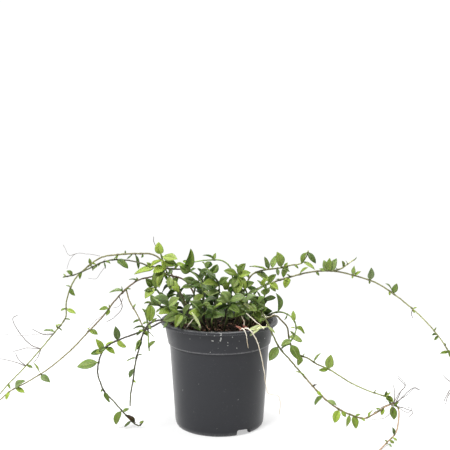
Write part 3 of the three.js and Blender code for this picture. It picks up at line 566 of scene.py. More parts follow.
            (0.431, 20, -35, 45), (0.524, 18, 45, 35), (0.626, 18, -125, 45), (0.78, 19, 60, 20),
            (0.848, 21, -120, 45), (0.954, 17, 140, 20), (0.985, 21, -160, 25),
        ),
        freshness=0.26,
        broad=1.25,
    ),
    ShootPlan(
        node="crown_shoot_left_rim_low",
        route=(
            (-44, -24, 129), (-54, -34, 145), (-61, -38, 154), (-63, -38, 161),
        ),
        leaves=(
            (0.472, 19, -10, 40), (0.613, 17, 40, 25), (0.703, 19, -120, 45), (0.806, 18, 50, 20),
            (0.83, 17, -170, 25), (0.893, 20, 135, 20), (0.937, 25, 145, 15), (0.985, 19, 40, 15),
        ),
        freshness=0.3,
        broad=1.25,
    ),
    ShootPlan(
        node="crown_shoot_front_low_left",
        route=(
            (-6, -42, 129), (-9, -54, 144), (-7, -60, 156), (-7, -61, 161),
        ),
        leaves=(
            (0.813, 19, 10, 40), (0.848, 18, -175, 35), (0.96, 19, 130, 30), (0.96, 19, 45, 35),
        ),
        freshness=0.32,
        broad=1.25,
    ),
    ShootPlan(
        node="crown_shoot_front_low_middle",
        route=(
            (6, -38, 129), (10, -48, 150), (12, -53, 163), (13, -54, 172),
        ),
        leaves=(
            (0.67, 13, -45, 45), (0.825, 19, -170, 35), (0.825, 20, -25, 40), (0.912, 19, 120, 15),
            (0.985, 19, 175, 25), (0.985, 19, 15, 20),
        ),
        freshness=0.32,
        broad=1.25,
    ),
    ShootPlan(
        node="crown_shoot_front_low_right",
        route=(
            (24, -34, 129), (29, -44, 151), (33, -48, 163), (33, -48, 168),
        ),
        leaves=(
            (0.636, 13, -50, 45), (0.667, 17, -165, 40), (0.806, 18, -5, 35), (0.907, 19, 130, 20),
            (0.936, 19, 180, 25), (0.965, 17, 40, 15),
        ),
        freshness=0.34,
        broad=1.25,
    ),
    ShootPlan(
        node="crown_shoot_left_side",
        route=(
            (-58, 12, 129), (-66, 8, 150), (-76, 6, 166), (-84, 5, 178),
        ),
        leaves=(
            (0.406, 14, -165, 20), (0.541, 18, 40, 20), (0.625, 19, -160, 25), (0.807, 17, -25, 25),
            (0.859, 18, 175, 20), (0.974, 20, -130, 25), (0.985, 16, 135, 15),
        ),
        freshness=0.5,
        broad=1.25,
    ),
    ShootPlan(
        node="crown_shoot_back_left",
        route=(
            (-38, 28, 129), (-50, 38, 150), (-60, 45, 172),
        ),
        pairs=LeafPairs(first=0.3, last=0.97, count=5, longest=22, roll=10),
        freshness=0.25,
        broad=1.25,
        rear=True,
    ),
    ShootPlan(
        node="crown_shoot_back_middle",
        route=(
            (-14, 24, 129), (-16, 38, 155), (-18, 46, 182), (-18, 48, 194),
        ),
        pairs=LeafPairs(first=0.25, last=0.97, count=6, longest=23, roll=35),
        freshness=0.2,
        broad=1.25,
        rear=True,
    ),
    ShootPlan(
        node="crown_shoot_back_right",
        route=(
            (14, 28, 129), (20, 42, 152), (25, 50, 176),
        ),
        pairs=LeafPairs(first=0.3, last=0.97, count=5, longest=22, roll=60),
        freshness=0.25,
        broad=1.25,
        rear=True,
    ),
    ShootPlan(
        node="crown_shoot_right_side",
        route=(
            (44, 16, 129), (54, 24, 148), (62, 30, 168),
        ),
        pairs=LeafPairs(first=0.3, last=0.97, count=5, longest=21, roll=0),
        freshness=0.45,
        broad=1.25,
        rear=True,
    ),
    ShootPlan(
        node="crown_shoot_centre",
        route=(
            (-4, 2, 129), (-6, 4, 155), (-8, 6, 182), (-10, 4, 196),
        ),
        pairs=LeafPairs(first=0.3, last=0.97, count=5, longest=22, roll=20),
        freshness=0.1,
        broad=1.25,
    ),
)

ROOT_STRANDS = (
    RootStrandPlan(
        node="root_strand_long",
        route=(
            (28, -57, 129), (31, -62, 138.5), (35.5, -68.5, 139), (41, -67, 133), (47, -62, 119),
            (51, -59, 103), (55, -56, 83), (58, -53, 62), (61, -50, 53), (73, -48, 50), (76, -46, 40),
            (75, -46, 26),
        ),
    ),
    RootStrandPlan(
        node="root_strand_short",
        route=(
            (23, -59, 129), (27, -65, 138.5), (30.5, -72, 138.5), (33, -72, 128), (35, -70, 116),
        ),
    ),
    RootStrandPlan(
        node="root_strand_pale_loop",
        route=(
            (-44, -46, 129), (-38, -54, 140), (-30, -60, 150), (-26, -63, 146), (-23, -65, 139.5),
        ),
    ),
)


# ---- Lines and meshes ----------------------------------------------------------------------------
class SmoothLine:
    """A centripetal Catmull-Rom line through a route, measured along its length."""

    DIVISIONS = 200

    def __init__(self, route: Sequence[Point]) -> None:
        """Measures the line.

        Args:
            route: points that the line passes through, in millimetres.
        """
        self.points = [Vector(point) for point in route]
        steps = range(self.DIVISIONS + 1)
        samples = [self._at_parameter(i / self.DIVISIONS) for i in steps]
        self.lengths = [0.0]
        for before, after in zip(samples, samples[1:]):
            self.lengths.append(self.lengths[-1] + (after - before).length)

    @property
    def length(self) -> float:
        """The line's length in millimetres."""
        return self.lengths[-1]

    def _at_parameter(self, t: float) -> Vector:
        """The point at a parameter from 0 to 1."""
        points = self.points
        place = (len(points) - 1) * t
        first = min(int(place), len(points) - 2)
        weight = place - first
        p1, p2 = points[first], points[first + 1]
        p0 = points[first - 1] if first > 0 else p1 + (p1 - p2)
        p3 = points[first + 2] if first + 2 < len(points) else p2 + (p2 - p1)
        gaps = [max((b - a).length, 1e-4) ** 0.5 for a, b in ((p0, p1), (p1, p2), (p2, p3))]
        d0, d1, d2 = gaps
        start = ((p1 - p0) / d0 - (p2 - p0) / (d0 + d1) + (p2 - p1) / d1) * d1
        end = ((p2 - p1) / d1 - (p3 - p1) / (d1 + d2) + (p3 - p2) / d2) * d1
        w2, w3 = weight * weight, weight**3
        return (
            p1 * (2 * w3 - 3 * w2 + 1) + p2 * (3 * w2 - 2 * w3)
            + start * (w3 - 2 * w2 + weight) + end * (w3 - w2)
        )

    def point(self, place: float) -> Vector:
        """The point at a share of the length from 0 to 1."""
        target = min(max(place, 0.0), 1.0) * self.length
        low, high = 0, self.DIVISIONS
        while high - low > 1:
            middle = (low + high) // 2
            if self.lengths[middle] <= target:
                low = middle
            else:
                high = middle
        span = self.lengths[high] - self.lengths[low]
        share = (target - self.lengths[low]) / span if span > 0 else 0.0
        return self._at_parameter((low + share) / self.DIVISIONS)

    def tangent(self, place: float) -> Vector:
        """The direction along the line at a share of the length."""
        ahead, behind = min(place + 1e-4, 1.0), max(place - 1e-4, 0.0)
        return (self.point(ahead) - self.point(behind)).normalized()

    def chord_point(self, place: float, step: float) -> Vector:
        """The point on the straight stretch that the frame's stalk has there."""
        count = max(3, math.floor(self.length / step + 0.5))
        first = min(int(place * count), count - 1)
        start, end = self.point(first / count), self.point((first + 1) / count)
        return start.lerp(end, place * count - first)


@dataclass
class MeshDraft:
    """Points, faces and per-point values of one piece while it is put together."""

    points: list[Vector] = field(default_factory=list)
    faces: list[tuple[int, ...]] = field(default_factory=list)
    values: dict[str, list[float]] = field(default_factory=dict)

    def add_point(self, point: Vector, **values: float) -> int:
        """Adds a point in millimetres with its values and returns its number."""
        self.points.append(point)
        for name, value in values.items():
            self.values.setdefault(name, []).append(value)
        return len(self.points) - 1

    def add_tube(
        self, centres: Sequence[Vector], radii: Sequence[float], sides: int, **values: Sequence[float]
    ) -> None:
        """Adds a closed tube.

        Args:
            centres: points along the middle of the tube, in millimetres.
            radii: its radius at each of them.
            sides: points round the tube.
            values: a list per value, one number for each centre.
        """
        ahead = (centres[1] - centres[0]).normalized()
        side = ahead.orthogonal().normalized()
        rings: list[list[int]] = []
        for i, (centre, radius) in enumerate(zip(centres, radii)):
            after = centres[min(i + 1, len(centres) - 1)]
            before = centres[max(i - 1, 0)]
            ahead = (after - before).normalized()
            side = (side - ahead * side.dot(ahead)).normalized()
            other = ahead.cross(side)
            here = {name: numbers[i] for name, numbers in values.items()}
            ring = []
            for k in range(sides):
                angle = 2 * math.pi * k / sides
                outward = side * math.cos(angle) + other * math.sin(angle)
                ring.append(self.add_point(centre + outward * radius, **here))
            rings.append(ring)
        for ring, following in zip(rings, rings[1:]):
            for k in range(sides):
                turn = (k + 1) % sides
                self.faces.append((ring[k], ring[turn], following[turn], following[k]))
        self.faces.append(tuple(reversed(rings[0])))
        self.faces.append(tuple(rings[-1]))

    def add_sheet(self, top: list[list[Vector]], bottom: list[list[Vector]], values: list) -> None:
        """Adds a thin closed sheet from two matching grids of points.

        Args:
            top: rows of points of the upper side.
            bottom: the lower side, point for point.
            values: for each point a dict of its values; the lower side gets "under" 1.
        """
        sides = []
        for grid, under in ((top, 0.0), (bottom, 1.0)):
            numbers = [
                [self.add_point(p, under=under, **v) for p, v in zip(row, row_values)]
                for row, row_values in zip(grid, values)
            ]
            sides.append(numbers)
        upper, lower = sides
        rows, columns = len(upper), len(upper[0])
        for i in range(rows - 1):
            for k in range(columns - 1):
                corners = ((i, k), (i, k + 1), (i + 1, k + 1), (i + 1, k))
                self.faces.append(tuple(upper[a][b] for a, b in corners))
                self.faces.append(tuple(lower[a][b] for a, b in reversed(corners)))
        rim = [(i, 0) for i in range(rows)] + [(rows - 1, k) for k in range(1, columns)]
        rim += [(i, columns - 1) for i in range(rows - 2, -1, -1)]
        rim += [(0, k) for k in range(columns - 2, 0, -1)]
        for (i, k), (a, b) in zip(rim, rim[1:] + rim[:1]):
            self.faces.append((upper[i][k], upper[a][b], lower[a][b], lower[i][k]))

    def to_object(self, name: str, material: bpy.types.Material) -> bpy.types.Object:
        """Makes the piece.

        Args:
            name: the piece's name.
            material: its finish.

        Returns:
            The object, in metres, with one mesh attribute for each value.
        """
        mesh = bpy.data.meshes.new(name)
        mesh.from_pydata([tuple(point * MM) for point in self.points], [], self.faces)
        for label, numbers in self.values.items():
            attribute = mesh.attributes.new(label, "FLOAT", "POINT")
            attribute.data.foreach_set("value", numbers)
        mesh.polygons.foreach_set("use_smooth", [True] * len(mesh.polygons))
        mesh.materials.append(material)
        mesh.update()
        piece = bpy.data.objects.new(name, mesh)
        bpy.context.scene.collection.objects.link(piece)
        return piece


def place_piece(piece: bpy.types.Object, slot: str, *nodes: str) -> None:
    """Rides a piece on the part and hides the nodes that it stands for.

    Args:
        piece: the finished piece.
        slot: the material slot's name; not used.
        nodes: CAD nodes that it replaces.
    """
    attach(piece, "root")
    if nodes:
        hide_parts(*nodes)
    LOG.info("%s: %d points", piece.name, len(piece.data.vertices))


# ---- Finishes ------------------------------------------------------------------------------------
Colour = tuple[float, float, float]
Socket = bpy.types.NodeSocket


class NodeSheet:
    """A material's node tree with short ways to add and link nodes."""

    def __init__(self, name: str) -> None:
        """Starts a material with one Principled shader."""
        self.material = bpy.data.materials.new(name)
        self.material.use_nodes = True
        self.tree = self.material.node_tree
        self.shader = self.tree.nodes["Principled BSDF"]

    def add(self, kind: str, **settings: object) -> bpy.types.Node:
        """Adds a node and sets its properties, or its inputs where they are named so."""
        node = self.tree.nodes.new(kind)
        for key, value in settings.items():
            if hasattr(node, key):
                setattr(node, key, value)
            else:
                node.inputs[key].default_value = value
        return node

    def link(self, output: bpy.types.NodeSocket, target: bpy.types.NodeSocket) -> None:
        """Links an output to an input."""
        self.tree.links.new(output, target)

    def value(self, name: str) -> bpy.types.NodeSocket:
        """A per-point value of the mesh."""
        return self.add("ShaderNodeAttribute", attribute_name=name).outputs["Fac"]

    def noise(self, scale: float, detail: float = 3.0, rough: float = 0.55) -> bpy.types.NodeSocket:
        """Fractal noise fixed to the piece, its scale in features per metre."""
        place = self.add("ShaderNodeTexCoord").outputs["Object"]
        node = self.add("ShaderNodeTexNoise")
        node.inputs["Scale"].default_value = scale
        node.inputs["Detail"].default_value = detail
        node.inputs["Roughness"].default_value = rough
        self.link(place, node.inputs["Vector"])
        return node.outputs["Fac"]

    def math(
        self, operation: str, first: object, second: object = None, third: object = None
    ) -> bpy.types.NodeSocket:
        """A sum on sockets or numbers."""
        node = self.add("ShaderNodeMath", operation=operation)
        for i, value in enumerate((first, second, third)):
            if value is None:
                continue
            if isinstance(value, (int, float)):
                node.inputs[i].default_value = value
            else:
                self.link(value, node.inputs[i])
        return node.outputs[0]

    def ramp(self, factor: bpy.types.NodeSocket, low: float, high: float) -> bpy.types.NodeSocket:
        """A smooth step from 0 at low to 1 at high."""
        node = self.add("ShaderNodeMapRange", interpolation_type="SMOOTHSTEP")
        node.inputs["From Min"].default_value = low
        node.inputs["From Max"].default_value = high
        self.link(factor, node.inputs["Value"])
        return node.outputs["Result"]

    def mix(self, factor: object, first: object, second: object) -> bpy.types.NodeSocket:
        """Mixes two colours, each a socket or a colour."""
        node = self.add("ShaderNodeMix", data_type="RGBA")
        for socket, value in ((0, factor), (6, first), (7, second)):
            if isinstance(value, (int, float)):
                node.inputs[socket].default_value = value
            elif isinstance(value, tuple):
                node.inputs[socket].default_value = (*value, 1.0)
            else:
                self.link(value, node.inputs[socket])
        return node.outputs[2]

    def bump(self, height: bpy.types.NodeSocket, strength: float, distance: float) -> None:
        """Raises the shader's surface by a height."""
        node = self.add("ShaderNodeBump")
        node.inputs["Strength"].default_value = strength
        node.inputs["Distance"].default_value = distance
        self.link(height, node.inputs["Height"])
        self.link(node.outputs["Normal"], self.shader.inputs["Normal"])

    def colour(self, socket: bpy.types.NodeSocket) -> None:
        """Gives the shader its colour."""
        self.link(socket, self.shader.inputs["Base Color"])

    def roughness(self, socket: bpy.types.NodeSocket) -> None:
        """Gives the shader its roughness."""
        self.link(socket, self.shader.inputs["Roughness"])


@dataclass(frozen=True)
class LeafFinish:
    """Waxy evergreen leaf: deep green when mature, yellow-green when young, dull and paler beneath, darkened
    by painted shade.
    """

    name: str = "periwinkle_leaf"
    mature: Colour = (0.055, 0.105, 0.018)
    young: Colour = (0.340, 0.440, 0.062)
    dull: Colour = (0.200, 0.260, 0.115)
    beneath: Colour = (0.230, 0.310, 0.095)
    vein: Colour = (0.420, 0.520, 0.160)
    # The darkest green: for the margin and for painted shade.
    deep: Colour = (0.016, 0.036, 0.006)
    withered: Colour = (0.045, 0.025, 0.014)
    subsurface: float = 0.10

    def veins(self, sheet: NodeSheet, across: Socket, along: Socket, distance: Socket) -> Socket:
        """How much of a vein there is at a place: the midrib and the slanting side veins."""
        reach = sheet.math("MULTIPLY", distance, 1.6)
        slant = sheet.math("SUBTRACT", sheet.math("MULTIPLY", along, 7.0), reach)
        wave = sheet.math("ABSOLUTE", sheet.math("SUBTRACT", sheet.math("FRACT", slant), 0.5))
        side_veins = sheet.math("SUBTRACT", 1.0, sheet.ramp(wave, 0.02, 0.14))
        midrib = sheet.math("SUBTRACT", 1.0, sheet.ramp(distance, 0.03, 0.13))
        return sheet.math("MAXIMUM", midrib, sheet.math("MULTIPLY", side_veins, 0.30))

    def material(self) -> bpy.types.Material:
        """Builds the finish."""
        sheet = NodeSheet(self.name)
        across, along = sheet.value("across"), sheet.value("along")
        mottle, cloud = sheet.noise(420.0, 4.0), sheet.noise(110.0, 2.0)
        stains = sheet.math("MULTIPLY", sheet.math("SUBTRACT", mottle, 0.5), 0.35)
        drift = sheet.math("MULTIPLY_ADD", sheet.math("SUBTRACT", cloud, 0.5), 0.7, stains)
        # The fresh value is also lowered deep in the crown, as painted shade.
        fresh = sheet.ramp(sheet.math("ADD", sheet.value("fresh"), drift), 0.0, 1.0)
        blade = sheet.mix(fresh, self.mature, self.young)
        blade = sheet.mix(sheet.value("dull"), blade, self.dull)
        distance = sheet.math("ABSOLUTE", across)
        veins = self.veins(sheet, across, along, distance)
        body = sheet.mix(sheet.math("MULTIPLY", veins, 0.42), blade, self.vein)
        margin = sheet.math("MULTIPLY", sheet.ramp(distance, 0.80, 1.0), 0.45)
        body = sheet.mix(margin, body, self.deep)
        body = sheet.mix(sheet.math("MULTIPLY", sheet.value("under"), 0.60), body, self.beneath)
        # Painted shade: each leaf darkens towards the deep green by its shade value, random per leaf and
        # strongest deep in the crown.
        body = sheet.mix(sheet.math("MULTIPLY", sheet.value("shade"), 0.74), body, self.deep)
        body = sheet.mix(sheet.value("withered"), body, self.withered)
        sheet.colour(body)
        gloss = sheet.math("MULTIPLY_ADD", sheet.value("under"), 0.22, 0.34)
        sheet.roughness(sheet.math("MULTIPLY_ADD", mottle, 0.16, gloss))
        relief = sheet.math("MULTIPLY_ADD", veins, -0.8, sheet.math("MULTIPLY", mottle, 0.35))
        sheet.bump(relief, 0.45, 0.0005)
        sheet.shader.inputs["Specular IOR Level"].default_value = 0.24
        sheet.shader.inputs["Subsurface Weight"].default_value = self.subsurface
        sheet.shader.inputs["Subsurface Radius"].default_value = (0.4, 1.0, 0.15)
        sheet.shader.inputs["Subsurface Scale"].default_value = 0.0015
        return sheet.material


@dataclass(frozen=True)
class StemFinish:
    """Thin bark: grey-brown and streaked at the old end, smooth and green at the tip."""

    bark: Bark

    def material(self) -> bpy.types.Material:
        """Builds the finish."""
        sheet = NodeSheet(f"stem_{self.bark.name.lower()}")
        old, young = self.bark.value
        along = sheet.value("along")
        mottle = sheet.noise(450.0, 5.0, 0.65)
        patches = sheet.noise(60.0, 2.0)
        age = sheet.math("ADD", along, sheet.math("MULTIPLY", sheet.math("SUBTRACT", patches, 0.5), 0.9))
        body = sheet.mix(sheet.ramp(age, 0.15, 0.85), old, young)
        dark = tuple(0.45 * part for part in old)
        body = sheet.mix(sheet.math("MULTIPLY", sheet.ramp(mottle, 0.45, 0.7), 0.55), body, dark)
        body = sheet.mix(sheet.math("MULTIPLY", sheet.value("knot"), 0.75), body, dark)
        sheet.colour(body)
        sheet.roughness(sheet.math("MULTIPLY_ADD", mottle, 0.25, 0.42))
        sheet.bump(mottle, 0.5, 0.0004)
        return sheet.material


@dataclass(frozen=True)
class RootFinish:
    """Fibrous root, from a pale or dark ground to stained stretches."""

    name: str = "pale_root"
    pale: Colour = (0.92, 0.87, 0.74)
    stained: Colour = (0.66, 0.54, 0.37)

    def material(self) -> bpy.types.Material:
        """Builds the finish."""
        sheet = NodeSheet(self.name)
        patches = sheet.noise(90.0, 3.0)
        fibre = sheet.noise(900.0, 3.0)
        age = sheet.math("MULTIPLY_ADD", sheet.value("along"), 0.35, patches)
        body = sheet.mix(sheet.ramp(age, 0.5, 1.0), self.pale, self.stained)
        body = sheet.mix(sheet.math("MULTIPLY", fibre, 0.25), body, self.stained)
        sheet.colour(body)
        sheet.roughness(sheet.math("MULTIPLY_ADD", fibre, 0.2, 0.6))
        sheet.bump(fibre, 0.4, 0.0003)
        return sheet.material


@dataclass(frozen=True)
class PotFinish:
    """Satin moulded polypropylene: fine texture, faint moulding rings, scuffs, dust and a painted highlight
    along the ledge.
    """

    grey: Colour = (0.024, 0.025, 0.029)
    # Pale grey for worn edges, dust and the painted highlight along the ledge.
    wear_dust_and_highlight: Colour = (0.20, 0.20, 0.205)
    ring_pitch: float = 0.0022
    patch_sides: tuple[float, float] = (0.008, 0.026)
    chalk: Colour = (0.50, 0.50, 0.48)

    def material(self) -> bpy.types.Material:
        """Builds the finish."""
        sheet = NodeSheet("pot_plastic")
        place = sheet.add("ShaderNodeTexCoord").outputs["Object"]
        parts = sheet.add("ShaderNodeSeparateXYZ")
        sheet.link(place, parts.inputs["Vector"])
        height = parts.outputs["Z"]
        grain, cloud = sheet.noise(2600.0, 2.0), sheet.noise(22.0, 4.0)
        scuff, crumbs = sheet.noise(520.0, 5.0, 0.7), sheet.noise(230.0, 2.0, 0.5)
        rings = sheet.math("SINE", sheet.math("MULTIPLY", height, 2 * math.pi / self.ring_pitch))
        body = sheet.mix(sheet.math("MULTIPLY", cloud, 0.35), self.grey, tuple(1.5 * c for c in self.grey))
        wear_and_highlight = sheet.math("MULTIPLY_ADD", sheet.ramp(scuff, 0.40, 0.65), 0.55, 0.30)
        # Lighter by the edge value: wear at the foot, a painted highlight along the ledge, lighter lines on
        # the lip.
        body = sheet.mix(sheet.math("MULTIPLY", sheet.value("edge"), wear_and_highlight), body, self.wear_dust_and_highlight)
        dust = sheet.math("MULTIPLY", sheet.ramp(scuff, 0.62, 0.74), sheet.ramp(cloud, 0.40, 0.62))
        body = sheet.mix(sheet.math("MULTIPLY", dust, 0.55), body, self.wear_dust_and_highlight)
        chalky = sheet.math("MULTIPLY_ADD", self.patch(sheet, parts), 0.13, crumbs)
        body = sheet.mix(sheet.ramp(chalky, 0.750, 0.785), body, self.chalk)
        sheet.colour(body)
        sheet.roughness(sheet.math("MULTIPLY_ADD", cloud, 0.16, 0.34))
        sheet.shader.inputs["Specular IOR Level"].default_value = 0.22
        sheet.shader.inputs["Sheen Weight"].default_value = 0.38
        sheet.shader.inputs["Sheen Roughness"].default_value = 0.35
        sheet.bump(sheet.math("MULTIPLY_ADD", rings, 0.10, grain), 0.25, 0.00015)
        return sheet.material

    def patch(self, sheet: NodeSheet, parts: bpy.types.Node) -> Socket:
        """Where the chalky scratches are thickest: on the band at the pot's front."""
        off_centre = sheet.math("ABSOLUTE", parts.outputs["X"])
        aside = sheet.math("SUBTRACT", 1.0, sheet.ramp(off_centre, *self.patch_sides))
        front = sheet.math("LESS_THAN", parts.outputs["Y"], 0.0)
        band = sheet.ramp(parts.outputs["Z"], LEDGE_HEIGHT * MM - 0.008, LEDGE_HEIGHT * MM + 0.006)
        return sheet.math("MULTIPLY", sheet.math("MULTIPLY", aside, front), band)


@dataclass(frozen=True)
class CompostFinish:
    """Moist bark compost, from near black to reddish brown; the near-black end is partly painted shade from
    the crown above.
    """

    name: str
    dark: Colour
    light: Colour
    spread: tuple[float, float] = (0.35, 0.75)

    def material(self) -> bpy.types.Material:
        """Builds the finish."""
        sheet = NodeSheet(self.name)
        coarse = sheet.noise(260.0, 5.0, 0.6)
        fine = sheet.noise(1400.0, 4.0, 0.6)
        tone = sheet.math("MULTIPLY_ADD", sheet.value("shade"), 0.5, sheet.math("MULTIPLY", coarse, 0.7))
        body = sheet.mix(sheet.ramp(tone, *self.spread), self.dark, self.light)
        body = sheet.mix(sheet.math("MULTIPLY", fine, 0.4), body, self.dark)
        sheet.colour(body)
        sheet.roughness(sheet.math("MULTIPLY_ADD", fine, 0.25, 0.65))
        sheet.shader.inputs["Specular IOR Level"].default_value = 0.08
        sheet.bump(sheet.math("ADD", coarse, fine), 0.8, 0.0012)
        return sheet.material


# ---- Leaves and stems ----------------------------------------------------------------------------
def leaf_direction(heading: float, turn: float) -> Vector:
    """Direction from a heading seen from the front and a turn towards the front, in degrees."""
    a, b = math.radians(heading), math.radians(turn)
    return Vector((math.cos(a) * math.cos(b), -math.sin(b), math.sin(a) * math.cos(b)))


def heading_of(direction: Vector) -> tuple[float, float]:
    """Heading and turn of a direction: the inverse of leaf_direction."""
    heading = math.degrees(math.atan2(direction.z, direction.x))
    return heading, math.degrees(math.asin(min(max(-direction.y, -1.0), 1.0)))


def paired_rows(line: SmoothLine, pairs: LeafPairs) -> list[LeafRow]:
    """Leaf rows of opposite pairs up a stem."""
    rows: list[LeafRow] = []
    for i in range(pairs.count):
        share = i / (pairs.count - 1)
        place = pairs.first + (pairs.last - pairs.first) * share
        length = pairs.longest * (1 - 0.35 * share * share)
        ahead = line.tangent(place)
        side = Vector((0, 1, 0)).cross(ahead).normalized()
        side = Matrix.Rotation(math.radians(pairs.roll + 90 * (i % 2)), 3, ahead) @ side
        opening = math.radians(PAIR_OPENING - 14 * share)
        for sign in (1, -1):
            direction = ahead * math.cos(opening) + side * (sign * math.sin(opening))
            rows.append((place, length, *heading_of(direction)))
    return rows


@dataclass(frozen=True)
class LeafForm:
    """The bends of one leaf: angles in degrees, the rest as shares of its length."""

    width_ratio: float
    fold: float
    arch: float
    twist: float
    roll: float
    sway: float
    curl: float
    ripple: float

    @classmethod
    def grown(cls, rng: random.Random, broad: float) -> "LeafForm":
        """A form as leaves of this plant usually have, drawn at random and widened by a factor."""
        return cls(
            width_ratio=broad * rng.choice((0.38, 0.42, 0.46, 0.50, 0.54)) * rng.uniform(0.94, 1.06),
            fold=rng.triangular(4, 46, 20),
            arch=rng.triangular(-15, 85, 38),
            twist=rng.gauss(0, 24),
            roll=rng.gauss(0, 26),
            sway=rng.gauss(0, 0.13),
            curl=rng.uniform(0.0, 0.35),
            ripple=rng.uniform(0.0, 0.04),
        )


SICKLE_LEAF = LeafForm(width_ratio=0.27, fold=25, arch=10, twist=8, roll=8, sway=0.70, curl=0.1, ripple=0.01)
FOLDED_LEAF = LeafForm(
    width_ratio=0.46, fold=48, arch=25, twist=-25, roll=38, sway=-0.25, curl=0.1, ripple=0.02,
)
FLAT_LEAF = LeafForm(width_ratio=0.52, fold=9, arch=12, twist=5, roll=0, sway=0.0, curl=0.1, ripple=0.01)
SHRIVELLED_LEAF = LeafForm(
    width_ratio=0.42, fold=42, arch=60, twist=50, roll=15, sway=0.2, curl=0.0, ripple=0.06,
)


@dataclass
class LeafBlade:
    """One leaf: petiole, folded and arched blade, sunk midrib, thin closed edge.

    Sizes are in millimetres. The tones fresh, shade, dull and withered go from 0 to 1.
    """

    root: Vector
    direction: Vector
    light: Vector
    length: float
    form: LeafForm
    tones: dict[str, float]
    phase: float = 0.0
    petiole: float = 0.1
    thickness: float = 0.34
    groove_depth: float = 0.22
    groove_reach: float = 0.1
    rows: int = 12
    columns: tuple[float, ...] = (-1.0, -0.78, -0.45, -0.12, 0.0, 0.12, 0.45, 0.78, 1.0)

    def half_width(self, share: float) -> float:
        """Half the blade's width at a share of the leaf's length."""
        stalk = 0.026 * self.length + 0.25
        blade = (share - self.petiole) / (1 - self.petiole)
        if blade <= 0:
            return stalk
        full = 0.5 * self.form.width_ratio * self.length
        outline = blade**0.62 * (1 - blade) ** 0.92 / 0.3441
        return max(full * outline, stalk * (1 - blade) + 0.12)

    def section(self, middle: Vector, side: Vector, rise: Vector, share: float) -> tuple[list, list]:
        """One row of points across the blade, on its upper and on its lower side."""
        half = self.half_width(share)
        fold = math.radians(self.form.fold)
        upper_row, lower_row = [], []
        for u in self.columns:
            lift = half * (math.tan(fold) * abs(u) - self.form.curl * u**4)
            lift += self.form.ripple * self.length * u * u * math.sin(9 * share + self.phase + 2 * u)
            groove = self.groove_depth * math.exp(-((u / self.groove_reach) ** 2)) * min(1.0, half / 2.5)
            body = middle + side * (half * u * math.cos(0.5 * fold)) + rise * lift
            edge = 1 - 0.45 * abs(u)
            upper_row.append(body + rise * (0.5 * self.thickness * edge - groove))
            lower_row.append(body - rise * (0.5 * self.thickness * edge + 1.3 * groove))
        return upper_row, lower_row

    def add_to(self, draft: MeshDraft) -> None:
        """Adds the leaf's closed mesh to a draft."""
        form = self.form
        arch, twist = math.radians(form.arch), math.radians(form.twist)
        spin = Matrix.Rotation(math.radians(form.roll), 3, self.direction)
        across = spin @ self.direction.cross(self.light).normalized()
        upper = across.cross(self.direction)
        middle = self.root.copy()
        top: list[list[Vector]] = []
        bottom: list[list[Vector]] = []
        values: list[list[dict[str, float]]] = []
        for i in range(self.rows + 1):
            share = i / self.rows
            slope = arch * (0.5 - share)
            ahead = self.direction * math.cos(slope) + upper * math.sin(slope)
            normal = upper * math.cos(slope) - self.direction * math.sin(slope)
            if i > 0:
                middle = middle + ahead * (self.length / self.rows)
            turn = twist * share
            side = across * math.cos(turn) + normal * math.sin(turn)
            rise = normal * math.cos(turn) - across * math.sin(turn)
            bow = across * (form.sway * self.length * share * (1 - share))
            row_top, row_bottom = self.section(middle + bow, side, rise, share)
            top.append(row_top)
            bottom.append(row_bottom)
            values.append([{"across": u, "along": share, **self.tones} for u in self.columns])
        draft.add_sheet(top, bottom, values)


class TipFinder:
    """Finds which way a leaf of the frame swung, by its tip."""

    REACH = 0.8

    def __init__(self, node: str) -> None:
        """Reads the node's corners."""
        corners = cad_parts[node].data.vertices
        self.tree = KDTree(len(corners))
        for i, corner in enumerate(corners):
            self.tree.insert(corner.co / MM, i)
        self.tree.balance()

    def direction(self, root: Vector, row: LeafRow) -> Optional[Vector]:
        """The leaf's direction, or None where the frame has no leaf.

        Args:
            root: where the leaf leaves its stem, in millimetres.
            row: the leaf's row.

        Returns:
            A unit direction.
        """
        _, length, heading, turn = row
        for aside, forward in SWINGS:
            way = leaf_direction(heading + aside, turn + forward)
            if self.tree.find(root + way * length)[2] < self.REACH:
                return way
        return None


# Leaves with a form of their own, by node and place in the shoot's list of leaves.
FORMS = {
    ("trailing_shoot_right_rim", 1): SICKLE_LEAF,
    ("trailing_shoot_right_rim", 8): FLAT_LEAF,
    ("trailing_shoot_right_middle", 1): FLAT_LEAF,
    ("trailing_shoot_right_rooting", 2): FLAT_LEAF,
    ("trailing_shoot_right_rooting", 5): SHRIVELLED_LEAF,
    ("trailing_shoot_left_hanging_loop", 10): FLAT_LEAF,
    ("trailing_shoot_left_hanging_loop", 15): SHRIVELLED_LEAF,
    ("crown_shoot_left_inner", 7): FOLDED_LEAF,
}


